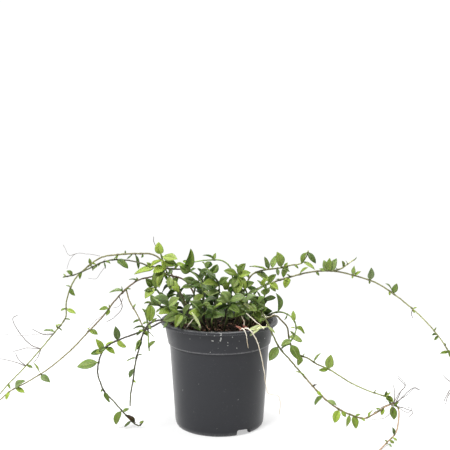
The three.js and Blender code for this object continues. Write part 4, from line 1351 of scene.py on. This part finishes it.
# Thin roots and stalks added to the frame's own, by node: their radius at the base and their routes.
HAIR_ROOTS = {
    "trailing_shoot_left_dark": (0.30, (
        ((-150, -12, 219), (-165, -12, 222), (-180, -12, 222), (-188, -12, 214), (-192, -12, 203)),
        ((-180, -12, 222), (-189, -12, 220), (-193, -12, 227), (-196, -12, 233)),
        ((-144, -8, 205), (-151, -8, 196), (-156, -8, 189), (-166, -8, 190)),
    )),
    "trailing_shoot_left_high_arch": (0.30, (
        ((-223, 47, 105), (-242, 48, 104), (-265, 48, 102), (-293, 48, 104)),
    )),
    "trailing_shoot_left_long": (0.35, (
        ((-123, -2, 163), (-127, -2, 154), (-137, -2, 150)),
        ((-144, 8, 143), (-154, 8, 136), (-164, 8, 129), (-172, 8, 117)),
    )),
    "trailing_shoot_right_rooting": (0.45, (
        ((221, -26, 34), (226, -28, 46), (234, -28, 57), (225, -28, 69)),
        ((221, -26, 32), (233, -30, 24), (239, -30, 22), (243, -30, 27), (237, -30, 29)),
        ((221, -28, 30), (209, -36, 18), (191, -38, 16)),
        ((221, -26, 34), (213, -26, 35), (206, -26, 37)),
        ((221, -26, 33), (238, -26, 45), (246, -26, 53), (253, -26, 50)),
    )),
    "crown_shoot_left_tall": (0.60, (
        ((-74, -8, 221), (-80, -8, 230), (-83, -8, 238), (-83, -8, 243)),
    )),
}


@dataclass
class Shoot:
    """One shoot of the plant: its stems, its aerial roots and its leaves."""

    plan: ShootPlan
    seed: int
    old_radius: float = 1.25
    young_radius: float = 0.85
    root_radius: float = 0.68
    ring_gap: float = 2.6
    sides: int = 8
    knot_reach: float = 1.5
    knot_swelling: float = 0.45
    wobble: float = 0.10
    branch_start: float = 0.78
    depth_into_compost: float = 4.0
    crown_radius: float = 75.0
    crown_height: float = 205.0
    crown_depth: float = 50.0

    def __post_init__(self) -> None:
        """Seeds the shoot's small irregularities."""
        self.rng = random.Random(self.seed)
        self.light = Vector((0, 0.55 if self.plan.rear else -0.55, 0.85)).normalized()
        self.main_line = SmoothLine(self.plan.route)
        self.missed = 0

    def stems(self) -> list[tuple[SmoothLine, Sequence[LeafRow]]]:
        """The lines of the shoot and its branches with their leaves."""
        line = self.main_line
        rows = self.plan.leaves or paired_rows(line, self.plan.pairs)
        branches = [(SmoothLine(branch.route), branch.leaves) for branch in self.plan.branches]
        return [(line, rows), *branches]

    def add_stem(self, draft: MeshDraft, line: SmoothLine, rows: Sequence[LeafRow], branch: bool) -> None:
        """Adds one tapering stem with a knot at each leaf joint."""
        count = max(8, int(line.length / self.ring_gap))
        joints = sorted({round(min(row[0], SHOOT_TIP), 2) for row in rows})
        centres, radii, along, knots = [], [], [], []
        start = self.branch_start if branch else 1.0
        for i in range(count + 1):
            share = i / count
            near = min((abs(share - joint) * line.length for joint in joints), default=99.0)
            knot = math.exp(-((near / self.knot_reach) ** 2))
            radius = start * self.old_radius + (self.young_radius - start * self.old_radius) * share**0.8
            wobble = Vector([self.rng.gauss(0, self.wobble) for _ in range(3)])
            centres.append(line.point(share) + wobble)
            radii.append(radius * (1 + self.knot_swelling * knot) * self.rng.uniform(0.93, 1.07))
            along.append(share if not branch else 0.5 + 0.5 * share)
            knots.append(knot)
        if centres[0].z < POT_HEIGHT:
            centres.insert(0, centres[0] - Vector((0, 0, self.depth_into_compost)))
            for values in (radii, along, knots):
                values.insert(0, values[0])
        draft.add_tube(centres, radii, self.sides, along=along, knot=knots)

    def tones(self, place: float, root: Vector) -> dict[str, float]:
        """A leaf's tones: fresher towards the tip; deep in the crown painted shade makes it darker and less
        fresh.
        """
        rng = self.rng
        fresh = self.plan.freshness + 0.30 * place * place + rng.uniform(-0.34, 0.42)
        aside = max(0.0, 1 - math.hypot(root.x, root.y) / self.crown_radius)
        below = min(max((self.crown_height - root.z) / self.crown_depth, 0.0), 1.0)
        # Painted shade: a leaf deep and low in the crown is made less fresh and darker.
        deep = aside * below
        return {
            "fresh": min(max(fresh - 0.35 * deep, 0.0), 1.0),
            "shade": min(rng.random() ** 1.8 + 0.95 * deep, 1.0),
            "dull": rng.random() ** 2.2,
            "withered": 0.0,
        }

    def add_leaves(
        self, draft: MeshDraft, line: SmoothLine, rows: Sequence[LeafRow], finder: TipFinder
    ) -> None:
        """Adds the leaves that the frame has on one stem."""
        for number, row in enumerate(rows):
            root = line.chord_point(min(row[0], SHOOT_TIP), STEM_STEP)
            form, tones = LeafForm.grown(self.rng, self.plan.broad), self.tones(row[0], root)
            phase = self.rng.uniform(0, 2 * math.pi)
            way = finder.direction(root, row)
            if way is None:
                self.missed += 1
                continue
            form = FORMS.get((self.plan.node, number), form) if line is self.main_line else form
            if form is SHRIVELLED_LEAF:
                tones.update(withered=1.0, shade=0.0)
            elif form is FLAT_LEAF:
                tones.update(fresh=0.38, shade=0.12, dull=0.15)
            LeafBlade(root, way, self.light, row[1], form, tones, phase).add_to(draft)

    def build(self, leaf: bpy.types.Material, stem: bpy.types.Material, root: bpy.types.Material) -> None:
        """Makes the shoot's pieces.

        Args:
            leaf: finish of the leaves.
            stem: finish of the stem.
            root: finish of the aerial roots.
        """
        stalks, blades = MeshDraft(), MeshDraft()
        finder = TipFinder(self.plan.node)
        for i, (line, rows) in enumerate(self.stems()):
            self.add_stem(stalks, line, rows, branch=i > 0)
            self.add_leaves(blades, line, rows, finder)
        place_piece(stalks.to_object(f"stem_{self.plan.node}", stem), "periwinkle_shoot", self.plan.node)
        place_piece(blades.to_object(f"leaves_{self.plan.node}", leaf), "periwinkle_shoot", self.plan.node)
        thick, hairs = HAIR_ROOTS.get(self.plan.node, (0.0, ()))
        if self.plan.roots or hairs:
            threads = MeshDraft()
            for route in self.plan.roots:
                add_root(threads, SmoothLine(route), self.root_radius, 0.5 * self.root_radius, self.rng)
            for route in hairs:
                add_root(threads, SmoothLine(route), thick, 0.6 * thick, self.rng)
            piece = threads.to_object(f"aerial_roots_{self.plan.node}", root)
            place_piece(piece, "pale_root", self.plan.node)
        if self.missed:
            LOG.info("%s: %d leaves without room", self.plan.node, self.missed)


def add_root(draft: MeshDraft, line: SmoothLine, thick: float, thin: float, rng: random.Random) -> None:
    """Adds one wavering root that thins to its tip.

    Args:
        draft: the mesh it goes into.
        line: its middle line, in millimetres.
        thick: its radius at its base.
        thin: its radius at its tip.
        rng: the source of its wavering.
    """
    count = max(6, int(line.length / 2.2))
    centres, radii = [], []
    drift = Vector((0, 0, 0))
    for i in range(count + 1):
        share = i / count
        drift = drift * 0.8 + Vector([rng.gauss(0, 0.16) for _ in range(3)])
        centres.append(line.point(share) + drift * min(1.0, 4 * share))
        radii.append((thick + (thin - thick) * share) * rng.uniform(0.85, 1.15))
    draft.add_tube(centres, radii, 6, along=[i / count for i in range(count + 1)])


@dataclass
class RootStrand:
    """A bare root that hangs over the rim."""

    plan: RootStrandPlan
    seed: int
    thick: float = 0.85
    thin: float = 0.28

    def build(self, finish: bpy.types.Material) -> None:
        """Makes the strand in its finish."""
        draft = MeshDraft()
        add_root(draft, SmoothLine(self.plan.route), self.thick, self.thin, random.Random(self.seed))
        place_piece(draft.to_object(f"fibrous_{self.plan.node}", finish), "pale_root", self.plan.node)


# ---- Loose bits ----------------------------------------------------------------------------------
@dataclass(frozen=True)
class LooseLeaf:
    """A dead or yellowed leaf that lies loose: where it starts and ends, its form and its freshness."""

    root: Point
    tip: Point
    form: LeafForm
    fresh: float = 0.5


@dataclass(frozen=True)
class Litter:
    """The loose bits at the pot's front right: yellowed leaves, red dead ones and pale stalks."""

    yellowed: tuple[LooseLeaf, ...] = (
        LooseLeaf((-33, -61, 158), (-21, -71, 141), LeafForm(0.19, 20, 35, 25, 0, 0.15, 0, 0.01), 0.5),
        LooseLeaf((37, -52, 130), (50, -57, 140), LeafForm(0.30, 25, 190, 30, 60, 0, 0, 0.02), 0.7),
        LooseLeaf((36, -63, 137), (58, -57, 139), LeafForm(0.20, 30, 20, 40, 20, 0.2, 0, 0.02), 0.8),
        LooseLeaf((28, -50, 167), (45, -54, 156), LeafForm(0.26, 30, 25, 10, 15, 0.1, 0, 0.01), 0.3),
        LooseLeaf((58, -50, 138), (68, -58, 131), LeafForm(0.30, 30, 30, 30, 0, 0.1, 0, 0.02), 0.1),
    )
    dead: tuple[LooseLeaf, ...] = (
        LooseLeaf((30, -60, 132), (20, -63, 142), LeafForm(0.22, 40, 40, 60, 0, 0.1, 0, 0.05), 0.8),
        LooseLeaf((29, -60, 131), (24, -65, 136), LeafForm(0.50, 45, 60, 40, 40, 0, 0, 0.06), 0.1),
        LooseLeaf((31, -58, 131), (29, -62, 143), LeafForm(0.42, 45, 60, 50, 0, 0, 0, 0.06), 0.4),
        LooseLeaf((31, -60, 131), (37, -63, 138), LeafForm(0.40, 40, 50, -60, 10, 0, 0, 0.06), 0.0),
        LooseLeaf((28, -56, 131), (34, -60, 140), LeafForm(0.38, 50, 50, 60, 0, 0, 0, 0.06), 0.3),
        LooseLeaf((24, -62, 131), (31, -67, 134), LeafForm(0.38, 40, 40, 30, 0, 0, 0, 0.06), 0.0),
    )
    stalks: tuple[tuple[Point, ...], ...] = (
        ((31, -56, 129), (30, -58, 138), (30, -58, 146), (27, -58, 153)),
        ((33, -52, 155), (42, -56, 147), (51, -60, 141), (54, -64, 138)),
        ((51, -20, 153), (58, -34, 144), (58, -50, 138)),
        ((48, -10, 146), (61, -16, 142), (71, -14, 145)),
        ((39, -30, 129), (42, -40, 134), (48, -52, 138), (57, -52, 138)),
    )
    stalk_radius: float = 0.75

    def leaf_piece(self, name: str, leaves: Sequence[LooseLeaf], finish: LeafFinish) -> None:
        """Makes one piece from a set of loose leaves."""
        rng, draft = random.Random(name), MeshDraft()
        up = Vector((0, -0.4, 0.9)).normalized()
        for leaf in leaves:
            root, tip = Vector(leaf.root), Vector(leaf.tip)
            reach = tip - root
            bend = max(math.radians(leaf.form.arch) / 2, 1e-3)
            length = reach.length * bend / math.sin(bend)
            tones = {"fresh": leaf.fresh, "shade": 0.2 * rng.random(), "dull": 0.0, "withered": 0.0}
            phase = rng.uniform(0, 6)
            LeafBlade(root, reach.normalized(), up, length, leaf.form, tones, phase).add_to(draft)
        place_piece(draft.to_object(name, finish.material()), "periwinkle_shoot")

    def build(self, pale: bpy.types.Material) -> None:
        """Makes the loose leaves and, in the pale root finish, the stalks."""
        yellow = LeafFinish(
            name="yellowed_leaf", mature=(0.22, 0.27, 0.07), young=(0.62, 0.68, 0.36),
            beneath=(0.60, 0.64, 0.38), vein=(0.78, 0.80, 0.60), deep=(0.14, 0.16, 0.05),
        )
        dead = LeafFinish(
            name="dead_leaf", mature=(0.085, 0.012, 0.014), young=(0.60, 0.26, 0.20),
            beneath=(0.20, 0.03, 0.035), vein=(0.55, 0.24, 0.18), deep=(0.02, 0.004, 0.006),
        )
        self.leaf_piece("litter_yellowed_leaves", self.yellowed, yellow)
        self.leaf_piece("litter_dead_leaves", self.dead, dead)
        rng, draft = random.Random(77), MeshDraft()
        for route in self.stalks:
            add_root(draft, SmoothLine(route), self.stalk_radius, 0.7 * self.stalk_radius, rng)
        place_piece(draft.to_object("litter_stalks", pale), "pale_root")


# ---- Pot -----------------------------------------------------------------------------------------
@dataclass
class NurseryPot:
    """The moulded pot: foot ring, tapered wall, ledge, band, rolled lip, holes and notches."""

    sides: int = 144
    hole_radius: float = 5.0
    hole_circle: float = 32.0
    hole_count: int = 6
    notch_width: float = 20.0
    notch_height: float = 7.5
    notch_count: int = 3
    first_notch: float = 33.0

    def outline(self) -> list[tuple[float, float, float]]:
        """(radius, height, edge value) from the middle of the floor's underside round to its top; the edge
        value is wear at the foot, a painted highlight along the ledge and lighter lines on the lip.
        """
        lip = POT_HEIGHT - LIP_DEPTH
        return [
            (0.0, FLOOR_HEIGHT, 0), (FOOT_RADIUS - 8.5, FLOOR_HEIGHT, 0),
            (FOOT_RADIUS - FOOT_RING_WIDTH - 1.5, FLOOR_HEIGHT - 0.2, 0),
            # At the foot the third number is wear.
            (FOOT_RADIUS - FOOT_RING_WIDTH - 0.2, 0.5, 0), (FOOT_RADIUS - FOOT_RING_WIDTH + 0.4, 0.0, 1),
            (FOOT_RADIUS - 0.4, 0.0, 1), (FOOT_RADIUS + 0.5, 0.4, 1), (FOOT_RADIUS + 1.6, 1.6, 0.6),
            (WALL_FOOT_RADIUS - 0.5, 3.4, 0.3), (WALL_FOOT_RADIUS, 6.0, 0),
            (WALL_FOOT_RADIUS + 1.6, 30.0, 0), (WALL_FOOT_RADIUS + 3.3, 55.0, 0),
            (WALL_FOOT_RADIUS + 4.9, 80.0, 0), (WALL_TOP_RADIUS - 0.1, LEDGE_HEIGHT - 2.4, 0),
            # Round the ledge the third number is a painted highlight, the thin light line where the ledge
            # catches the light.
            (WALL_TOP_RADIUS + 0.1, LEDGE_HEIGHT - 1.2, 0), (WALL_TOP_RADIUS + 0.7, LEDGE_HEIGHT - 0.6, 0.2),
            (BAND_FOOT_RADIUS - 0.5, LEDGE_HEIGHT - 0.3, 0.8), (BAND_FOOT_RADIUS, LEDGE_HEIGHT + 0.2, 1),
            (BAND_FOOT_RADIUS + 0.15, LEDGE_HEIGHT + 0.9, 0.8),
            (BAND_FOOT_RADIUS + 0.25, LEDGE_HEIGHT + 1.5, 0),
            (BAND_FOOT_RADIUS + 1.5, LEDGE_HEIGHT + 8.5, 0), (BAND_FOOT_RADIUS + 3.0, LEDGE_HEIGHT + 17, 0),
            # On the lip the third number gives lighter lines along its edges.
            (BAND_TOP_RADIUS - 0.1, lip - 1.0, 0), (BAND_TOP_RADIUS + 0.3, lip - 0.3, 0.1),
            (BAND_TOP_RADIUS + 1.0, lip, 0.1), (LIP_RADIUS - 1.0, lip + 0.1, 0.1),
            (LIP_RADIUS - 0.3, lip + 0.4, 0.3), (LIP_RADIUS, lip + 1.1, 0.1),
            (LIP_RADIUS, POT_HEIGHT - 1.4, 0),
            (LIP_RADIUS - 0.2, POT_HEIGHT - 0.6, 0.5), (LIP_RADIUS - 0.9, POT_HEIGHT, 0.9),
            (LIP_RADIUS - 1.8, POT_HEIGHT, 0), (BAND_TOP_RADIUS, POT_HEIGHT, 0),
            (BAND_TOP_RADIUS - WALL + 0.5, POT_HEIGHT - 0.2, 0.4),
            (BAND_TOP_RADIUS - WALL, POT_HEIGHT - 0.9, 0.1),
            (BAND_FOOT_RADIUS - WALL, LEDGE_HEIGHT, 0), (WALL_TOP_RADIUS - WALL, LEDGE_HEIGHT - 1.2, 0),
            (WALL_FOOT_RADIUS - WALL, FLOOR_HEIGHT + WALL + 1, 0),
            (WALL_FOOT_RADIUS - WALL - 1, FLOOR_HEIGHT + WALL, 0), (0.0, FLOOR_HEIGHT + WALL, 0),
        ]

    def shell(self) -> MeshDraft:
        """The turned shell without its openings."""
        draft = MeshDraft()
        outline = self.outline()
        rings: list[list[int]] = []
        for radius, height, wear_and_highlight in outline:
            if radius == 0.0:
                rings.append([draft.add_point(Vector((0, 0, height)), edge=0.0)])
                continue
            ring = []
            for k in range(self.sides):
                angle = 2 * math.pi * k / self.sides
                point = Vector((radius * math.cos(angle), radius * math.sin(angle), height))
                ring.append(draft.add_point(point, edge=float(wear_and_highlight)))
            rings.append(ring)
        for lower, upper in zip(rings, rings[1:]):
            for k in range(self.sides):
                turn = (k + 1) % self.sides
                if len(lower) == 1:
                    draft.faces.append((lower[0], upper[turn], upper[k]))
                elif len(upper) == 1:
                    draft.faces.append((lower[k], lower[turn], upper[0]))
                else:
                    draft.faces.append((lower[k], lower[turn], upper[turn], upper[k]))
        return draft

    def cutters(self) -> MeshDraft:
        """The drain holes and notches as closed solids."""
        draft = MeshDraft()
        circle = [(0.0, 0.0)]
        for i in range(self.hole_count):
            angle = 2 * math.pi * i / self.hole_count
            circle.append((self.hole_circle * math.cos(angle), self.hole_circle * math.sin(angle)))
        for x, y in circle:
            ends = [Vector((x, y, FLOOR_HEIGHT - 4)), Vector((x, y, FLOOR_HEIGHT + 5))]
            draft.add_tube(ends, [self.hole_radius] * 2, 32)
        for i in range(self.notch_count):
            self.add_notch(draft, math.radians(self.first_notch) + 2 * math.pi * i / self.notch_count)
        return draft

    def add_notch(self, draft: MeshDraft, angle: float) -> None:
        """Adds one notch's cutter: a low window with rounded, slightly uneven top corners."""
        half, height = self.notch_width / 2, self.notch_height
        window = [
            (-half, -2.0), (half, -2.0), (half, height - 3.4), (half - 0.5, height - 2.4),
            (half - 1.6, height - 1.6), (half - 3.4, height - 1.15), (0.0, height - 0.5),
            (-half + 2.2, height), (-half + 0.8, height - 0.4), (-half, height - 1.6),
        ]
        spin = Matrix.Rotation(angle, 3, "Z")
        rings = []
        for depth in (-FOOT_RADIUS + 7.0, -FOOT_RADIUS - 7.0):
            rings.append([draft.add_point(spin @ Vector((x, depth, z))) for x, z in window])
        near, far = rings
        count = len(window)
        for k in range(count):
            turn = (k + 1) % count
            draft.faces.append((near[k], near[turn], far[turn], far[k]))
        draft.faces.append(tuple(reversed(near)))
        draft.faces.append(tuple(far))

    def build(self, finish: bpy.types.Material) -> None:
        """Makes the pot: turns the shell, then cuts its openings."""
        pot = self.shell().to_object("nursery_pot", finish)
        cutter = self.cutters().to_object("pot_openings", finish)
        fix_normals(cutter)
        fix_normals(pot)
        cut = pot.modifiers.new("openings", "BOOLEAN")
        cut.operation, cut.solver, cut.object = "DIFFERENCE", "EXACT", cutter
        apply_modifiers(pot)
        bpy.data.objects.remove(cutter)
        smooth_by_angle(pot, 32.0)
        place_piece(pot, "pot_plastic", "pot")


def fix_normals(piece: bpy.types.Object) -> None:
    """Turns every face of a closed mesh outwards."""
    mesh = bmesh.new()
    mesh.from_mesh(piece.data)
    bmesh.ops.recalc_face_normals(mesh, faces=mesh.faces)
    mesh.to_mesh(piece.data)
    mesh.free()


def apply_modifiers(piece: bpy.types.Object) -> None:
    """Replaces a piece's mesh with the result of its modifiers."""
    bpy.context.view_layer.update()
    seen = piece.evaluated_get(bpy.context.evaluated_depsgraph_get())
    result = bpy.data.meshes.new_from_object(seen)
    piece.modifiers.clear()
    piece.data = result


def smooth_by_angle(piece: bpy.types.Object, degrees: float) -> None:
    """Shades a piece smooth, with its edges sharper than an angle kept crisp."""
    mesh = bmesh.new()
    mesh.from_mesh(piece.data)
    limit = math.radians(degrees)
    for edge in mesh.edges:
        edge.smooth = len(edge.link_faces) == 2 and edge.calc_face_angle(0.0) < limit
    for face in mesh.faces:
        face.smooth = True
    mesh.to_mesh(piece.data)
    mesh.free()


# ---- Compost -------------------------------------------------------------------------------------
@dataclass
class Compost:
    """The fill: one lumpy body to the pot's wall, with bark chips and root fibres on top."""

    seed: int = 41
    rings: int = 34
    sides: int = 120
    chip_count: int = 420
    fibre_count: int = 150
    clearance: float = 0.35
    wave_count: int = 22
    wave_height: float = 0.30
    chip_corners: int = 7
    chip_lean: float = 28.0
    fibre_sides: int = 5
    fibre_rise: float = 1.8

    def __post_init__(self) -> None:
        """Seeds the fill."""
        self.rng = random.Random(self.seed)
        rise = (SOIL_EDGE_HEIGHT - LEDGE_HEIGHT) / (POT_HEIGHT - LIP_DEPTH - LEDGE_HEIGHT)
        band = BAND_FOOT_RADIUS + (BAND_TOP_RADIUS - BAND_FOOT_RADIUS) * rise
        self.edge_radius = band - WALL - self.clearance - 0.3
        self.waves = [
            (self.rng.uniform(0.08, 0.5), self.rng.uniform(0, 6.28), self.rng.uniform(0, 6.28))
            for _ in range(self.wave_count)
        ]

    def surface(self, x: float, y: float) -> float:
        """Height of the compost's surface at a place."""
        radius = math.hypot(x, y) / self.edge_radius
        height = SOIL_EDGE_HEIGHT + SOIL_MOUND * (1 - radius * radius)
        for pitch, heading, phase in self.waves:
            travel = x * math.cos(heading) + y * math.sin(heading)
            height += self.wave_height * math.sin(pitch * travel + phase)
        return height - 0.4

    def add_body(self, draft: MeshDraft) -> None:
        """Adds the body of the fill, from its lumpy top down the wall to the pot's floor."""
        centre = draft.add_point(Vector((0, 0, self.surface(0, 0))), shade=0.5)
        rings = []
        for i in range(1, self.rings + 1):
            radius = self.edge_radius * i / self.rings
            ring = []
            for k in range(self.sides):
                angle = 2 * math.pi * k / self.sides
                x, y = radius * math.cos(angle), radius * math.sin(angle)
                lump = self.rng.gauss(0, 0.35) if i < self.rings else -0.5
                place = Vector((x, y, self.surface(x, y) + lump))
                ring.append(draft.add_point(place, shade=self.rng.random()))
            rings.append(ring)
        inset = WALL + self.clearance
        wall = (
            (BAND_FOOT_RADIUS - inset, LEDGE_HEIGHT + 0.6), (WALL_TOP_RADIUS - inset, LEDGE_HEIGHT - 0.6),
            (WALL_FOOT_RADIUS - inset, FLOOR_HEIGHT + WALL + 1.6),
            (WALL_FOOT_RADIUS - inset - 1.2, FLOOR_HEIGHT + WALL + self.clearance),
        )
        for radius, height in wall:
            ring = []
            for k in range(self.sides):
                angle = 2 * math.pi * k / self.sides
                place = Vector((radius * math.cos(angle), radius * math.sin(angle), height))
                ring.append(draft.add_point(place, shade=0.5))
            rings.append(ring)
        bottom = draft.add_point(Vector((0, 0, FLOOR_HEIGHT + WALL + self.clearance)), shade=0.5)
        for k in range(self.sides):
            turn = (k + 1) % self.sides
            draft.faces.append((centre, rings[0][k], rings[0][turn]))
            draft.faces.append((bottom, rings[-1][turn], rings[-1][k]))
            for inner, outer in zip(rings, rings[1:]):
                draft.faces.append((inner[k], outer[k], outer[turn], inner[turn]))

    def add_chip(self, draft: MeshDraft) -> None:
        """Adds one flat, split chip of bark that lies half sunk in the surface."""
        rng = self.rng
        radius = (self.edge_radius - 4) * math.sqrt(rng.random())
        angle = rng.uniform(0, 2 * math.pi)
        x, y = radius * math.cos(angle), radius * math.sin(angle)
        length, width = rng.uniform(2.5, 9.0), rng.uniform(1.2, 3.2)
        thick = rng.uniform(0.5, 1.4)
        spin = Matrix.Rotation(rng.uniform(0, 2 * math.pi), 3, "Z")
        lean = math.radians(rng.uniform(-self.chip_lean, self.chip_lean))
        tilt = Matrix.Rotation(lean, 3, Vector((rng.random(), rng.random(), 0.1)))
        centre = Vector((x, y, self.surface(x, y) + rng.uniform(0.1, 0.8)))
        shade = rng.random()
        corners = self.chip_corners
        rings = []
        for level in (-0.5, 0.5):
            ring = []
            for k in range(corners):
                turn = 2 * math.pi * k / corners
                ragged = rng.uniform(0.7, 1.15)
                place = Vector((
                    0.5 * length * math.cos(turn) * ragged,
                    0.5 * width * math.sin(turn) * ragged,
                    thick * level * rng.uniform(0.7, 1.3),
                ))
                ring.append(draft.add_point(centre + spin @ (tilt @ place), shade=shade))
            rings.append(ring)
        low, high = rings
        for k in range(corners):
            turn = (k + 1) % corners
            draft.faces.append((low[k], low[turn], high[turn], high[k]))
        draft.faces.append(tuple(reversed(low)))
        draft.faces.append(tuple(high))

    def add_fibre(self, draft: MeshDraft) -> None:
        """Adds one thin root fibre that loops over the surface."""
        rng = self.rng
        radius = (self.edge_radius - 5) * math.sqrt(rng.random())
        angle = rng.uniform(0, 2 * math.pi)
        place = Vector((radius * math.cos(angle), radius * math.sin(angle), 0))
        heading = rng.uniform(0, 2 * math.pi)
        centres, count = [], rng.randint(6, 14)
        for i in range(count):
            rise = self.fibre_rise * math.sin(math.pi * i / (count - 1)) * rng.uniform(0.2, 1.0)
            centres.append(Vector((place.x, place.y, self.surface(place.x, place.y) + 0.2 + rise)))
            heading += rng.gauss(0, 0.45)
            place += Vector((math.cos(heading), math.sin(heading), 0)) * rng.uniform(1.2, 2.4)
            if place.length > self.edge_radius - 1.5:
                place *= (self.edge_radius - 2) / place.length
        thick = rng.uniform(0.14, 0.42)
        radii = [thick * rng.uniform(0.8, 1.1) for _ in centres]
        draft.add_tube(centres, radii, self.fibre_sides, shade=[rng.random()] * count)

    def build(self) -> None:
        """Makes the fill's three pieces."""
        body, chips, fibres = MeshDraft(), MeshDraft(), MeshDraft()
        self.add_body(body)
        for _ in range(self.chip_count):
            self.add_chip(chips)
        for _ in range(self.fibre_count):
            self.add_fibre(fibres)
        # The body and chips are darkened to near black: partly the compost's own colour, partly painted
        # shade under the crown.
        finishes = (
            CompostFinish("compost_body", (0.003, 0.002, 0.0015), (0.014, 0.008, 0.005)),
            CompostFinish("bark_chips", (0.004, 0.003, 0.002), (0.036, 0.017, 0.010)),
            CompostFinish("compost_fibres", (0.03, 0.014, 0.009), (0.34, 0.20, 0.13)),
        )
        names = ("compost_body", "compost_bark_chips", "compost_fibres")
        for draft, finish, name in zip((body, chips, fibres), finishes, names):
            place_piece(draft.to_object(name, finish.material()), "bark_compost", "potting_soil")


# ---- Studio --------------------------------------------------------------------------------------
@dataclass
class Studio:
    """White tent open to the front: pale floor, bright sides, a dim front, two lamps, the camera."""

    camera_height: float = 0.366
    camera_distance: float = 1.0
    camera_aside: float = 0.0072
    camera_pitch: float = 6.22
    lens: float = 63.52
    floor_half: float = 6.0
    floor_glow_from: float = 0.25
    floor_glow_to: float = 1.3
    front_ends: float = -0.75
    side_starts: float = 0.25
    front_strength: float = 0.06
    side_strength: float = 1.05
    soft_share: float = 0.50

    def add_light(self, name: str, place: Point, size: float, power: float) -> None:
        """Adds a square soft light aimed at the plant."""
        light = bpy.data.lights.new(name, "AREA")
        light.shape, light.size, light.energy = "SQUARE", size, power
        lamp = bpy.data.objects.new(name, light)
        lamp.location = place
        lamp.rotation_euler = (Vector((0, 0, 0.12)) - Vector(place)).to_track_quat("-Z", "Y").to_euler()
        bpy.context.scene.collection.objects.link(lamp)

    def floor_finish(self) -> bpy.types.Material:
        """Matt white floor that melts into the white tent away from the pot."""
        sheet = NodeSheet("studio_floor")
        place = sheet.add("ShaderNodeTexCoord").outputs["Object"]
        reach = sheet.add("ShaderNodeVectorMath", operation="LENGTH")
        sheet.link(place, reach.inputs[0])
        glow = sheet.ramp(reach.outputs["Value"], self.floor_glow_from, self.floor_glow_to)
        sheet.colour(sheet.mix(glow, (0.50, 0.50, 0.50), (0.0, 0.0, 0.0)))
        sheet.link(sheet.math("MULTIPLY_ADD", glow, 0.52, 0.50), sheet.shader.inputs["Emission Strength"])
        sheet.shader.inputs["Emission Color"].default_value = (1.0, 1.0, 1.0, 1.0)
        sheet.shader.inputs["Roughness"].default_value = 0.8
        sheet.shader.inputs["Specular IOR Level"].default_value = 0.0
        return sheet.material

    def add_floor(self) -> None:
        """Adds the floor."""
        half = self.floor_half
        mesh = bpy.data.meshes.new("studio_floor")
        corners = [(-half, -half, 0), (half, -half, 0), (half, half, 0), (-half, half, 0)]
        mesh.from_pydata(corners, [], [(0, 1, 2, 3)])
        mesh.materials.append(self.floor_finish())
        floor = bpy.data.objects.new("studio_floor", mesh)
        bpy.context.scene.collection.objects.link(floor)

    def add_camera(self) -> None:
        """Adds the camera."""
        data = bpy.data.cameras.new("camera")
        data.sensor_width, data.lens = 36.0, self.lens
        data.clip_start, data.clip_end = 0.01, 50.0
        camera = bpy.data.objects.new("camera", data)
        camera.location = (self.camera_aside, -self.camera_distance, self.camera_height)
        camera.rotation_euler = (math.radians(90 - self.camera_pitch), 0, 0)
        bpy.context.scene.collection.objects.link(camera)
        bpy.context.scene.camera = camera

    def add_tent(self) -> None:
        """Surrounds the plant with white that lights it from the sides and back more than from the front."""
        world = bpy.data.worlds.new("studio")
        world.use_nodes = True
        nodes, links = world.node_tree.nodes, world.node_tree.links
        place = nodes.new("ShaderNodeTexCoord")
        parts = nodes.new("ShaderNodeSeparateXYZ")
        links.new(place.outputs["Generated"], parts.inputs["Vector"])
        depth = nodes.new("ShaderNodeMapRange")
        depth.interpolation_type = "SMOOTHSTEP"
        for name, value in (
            ("From Min", self.front_ends), ("From Max", self.side_starts),
            ("To Min", self.front_strength), ("To Max", self.side_strength),
        ):
            depth.inputs[name].default_value = value
        links.new(parts.outputs["Y"], depth.inputs["Value"])
        seen = nodes.new("ShaderNodeLightPath")
        share = nodes.new("ShaderNodeMapRange")
        share.inputs["To Min"].default_value = 1.0
        share.inputs["To Max"].default_value = self.soft_share
        links.new(seen.outputs["Is Diffuse Ray"], share.inputs["Value"])
        softened = nodes.new("ShaderNodeMath")
        softened.operation = "MULTIPLY"
        links.new(depth.outputs["Result"], softened.inputs[0])
        links.new(share.outputs["Result"], softened.inputs[1])
        strength = nodes.new("ShaderNodeMath")
        strength.operation = "MAXIMUM"
        links.new(seen.outputs["Is Camera Ray"], strength.inputs[0])
        links.new(softened.outputs[0], strength.inputs[1])
        ground = nodes["Background"]
        ground.inputs["Color"].default_value = (1.0, 1.0, 1.0, 1.0)
        links.new(strength.outputs[0], ground.inputs["Strength"])
        bpy.context.scene.world = world

    def build(self) -> None:
        """Makes the floor, the tent, the lights and the camera."""
        self.add_floor()
        self.add_tent()
        self.add_camera()
        self.add_light("key_light", (-0.8, -1.0, 1.6), 0.7, 40.0)
        self.add_light("top_light", (0.3, 0.2, 1.9), 0.9, 34.0)
        bpy.context.scene.view_settings.view_transform = "Standard"


def main() -> None:
    """Builds the studio, the pot and the plant."""
    logging.basicConfig(level=logging.INFO, format="%(message)s")
    Studio().build()
    NurseryPot().build(PotFinish().material())
    Compost().build()
    leaf = LeafFinish().material()
    root = RootFinish().material()
    dry_root = RootFinish("dry_root", (0.13, 0.10, 0.08), (0.04, 0.03, 0.028)).material()
    stems = {bark: StemFinish(bark).material() for bark in Bark}
    Litter().build(root)
    for i, strand in enumerate(ROOT_STRANDS):
        RootStrand(strand, seed=300 + i).build(root)
    for i, plan in enumerate(SHOOTS):
        Shoot(plan, seed=100 + i).build(leaf, stems[plan.bark], dry_root)


if __name__ == "__main__":
    main()
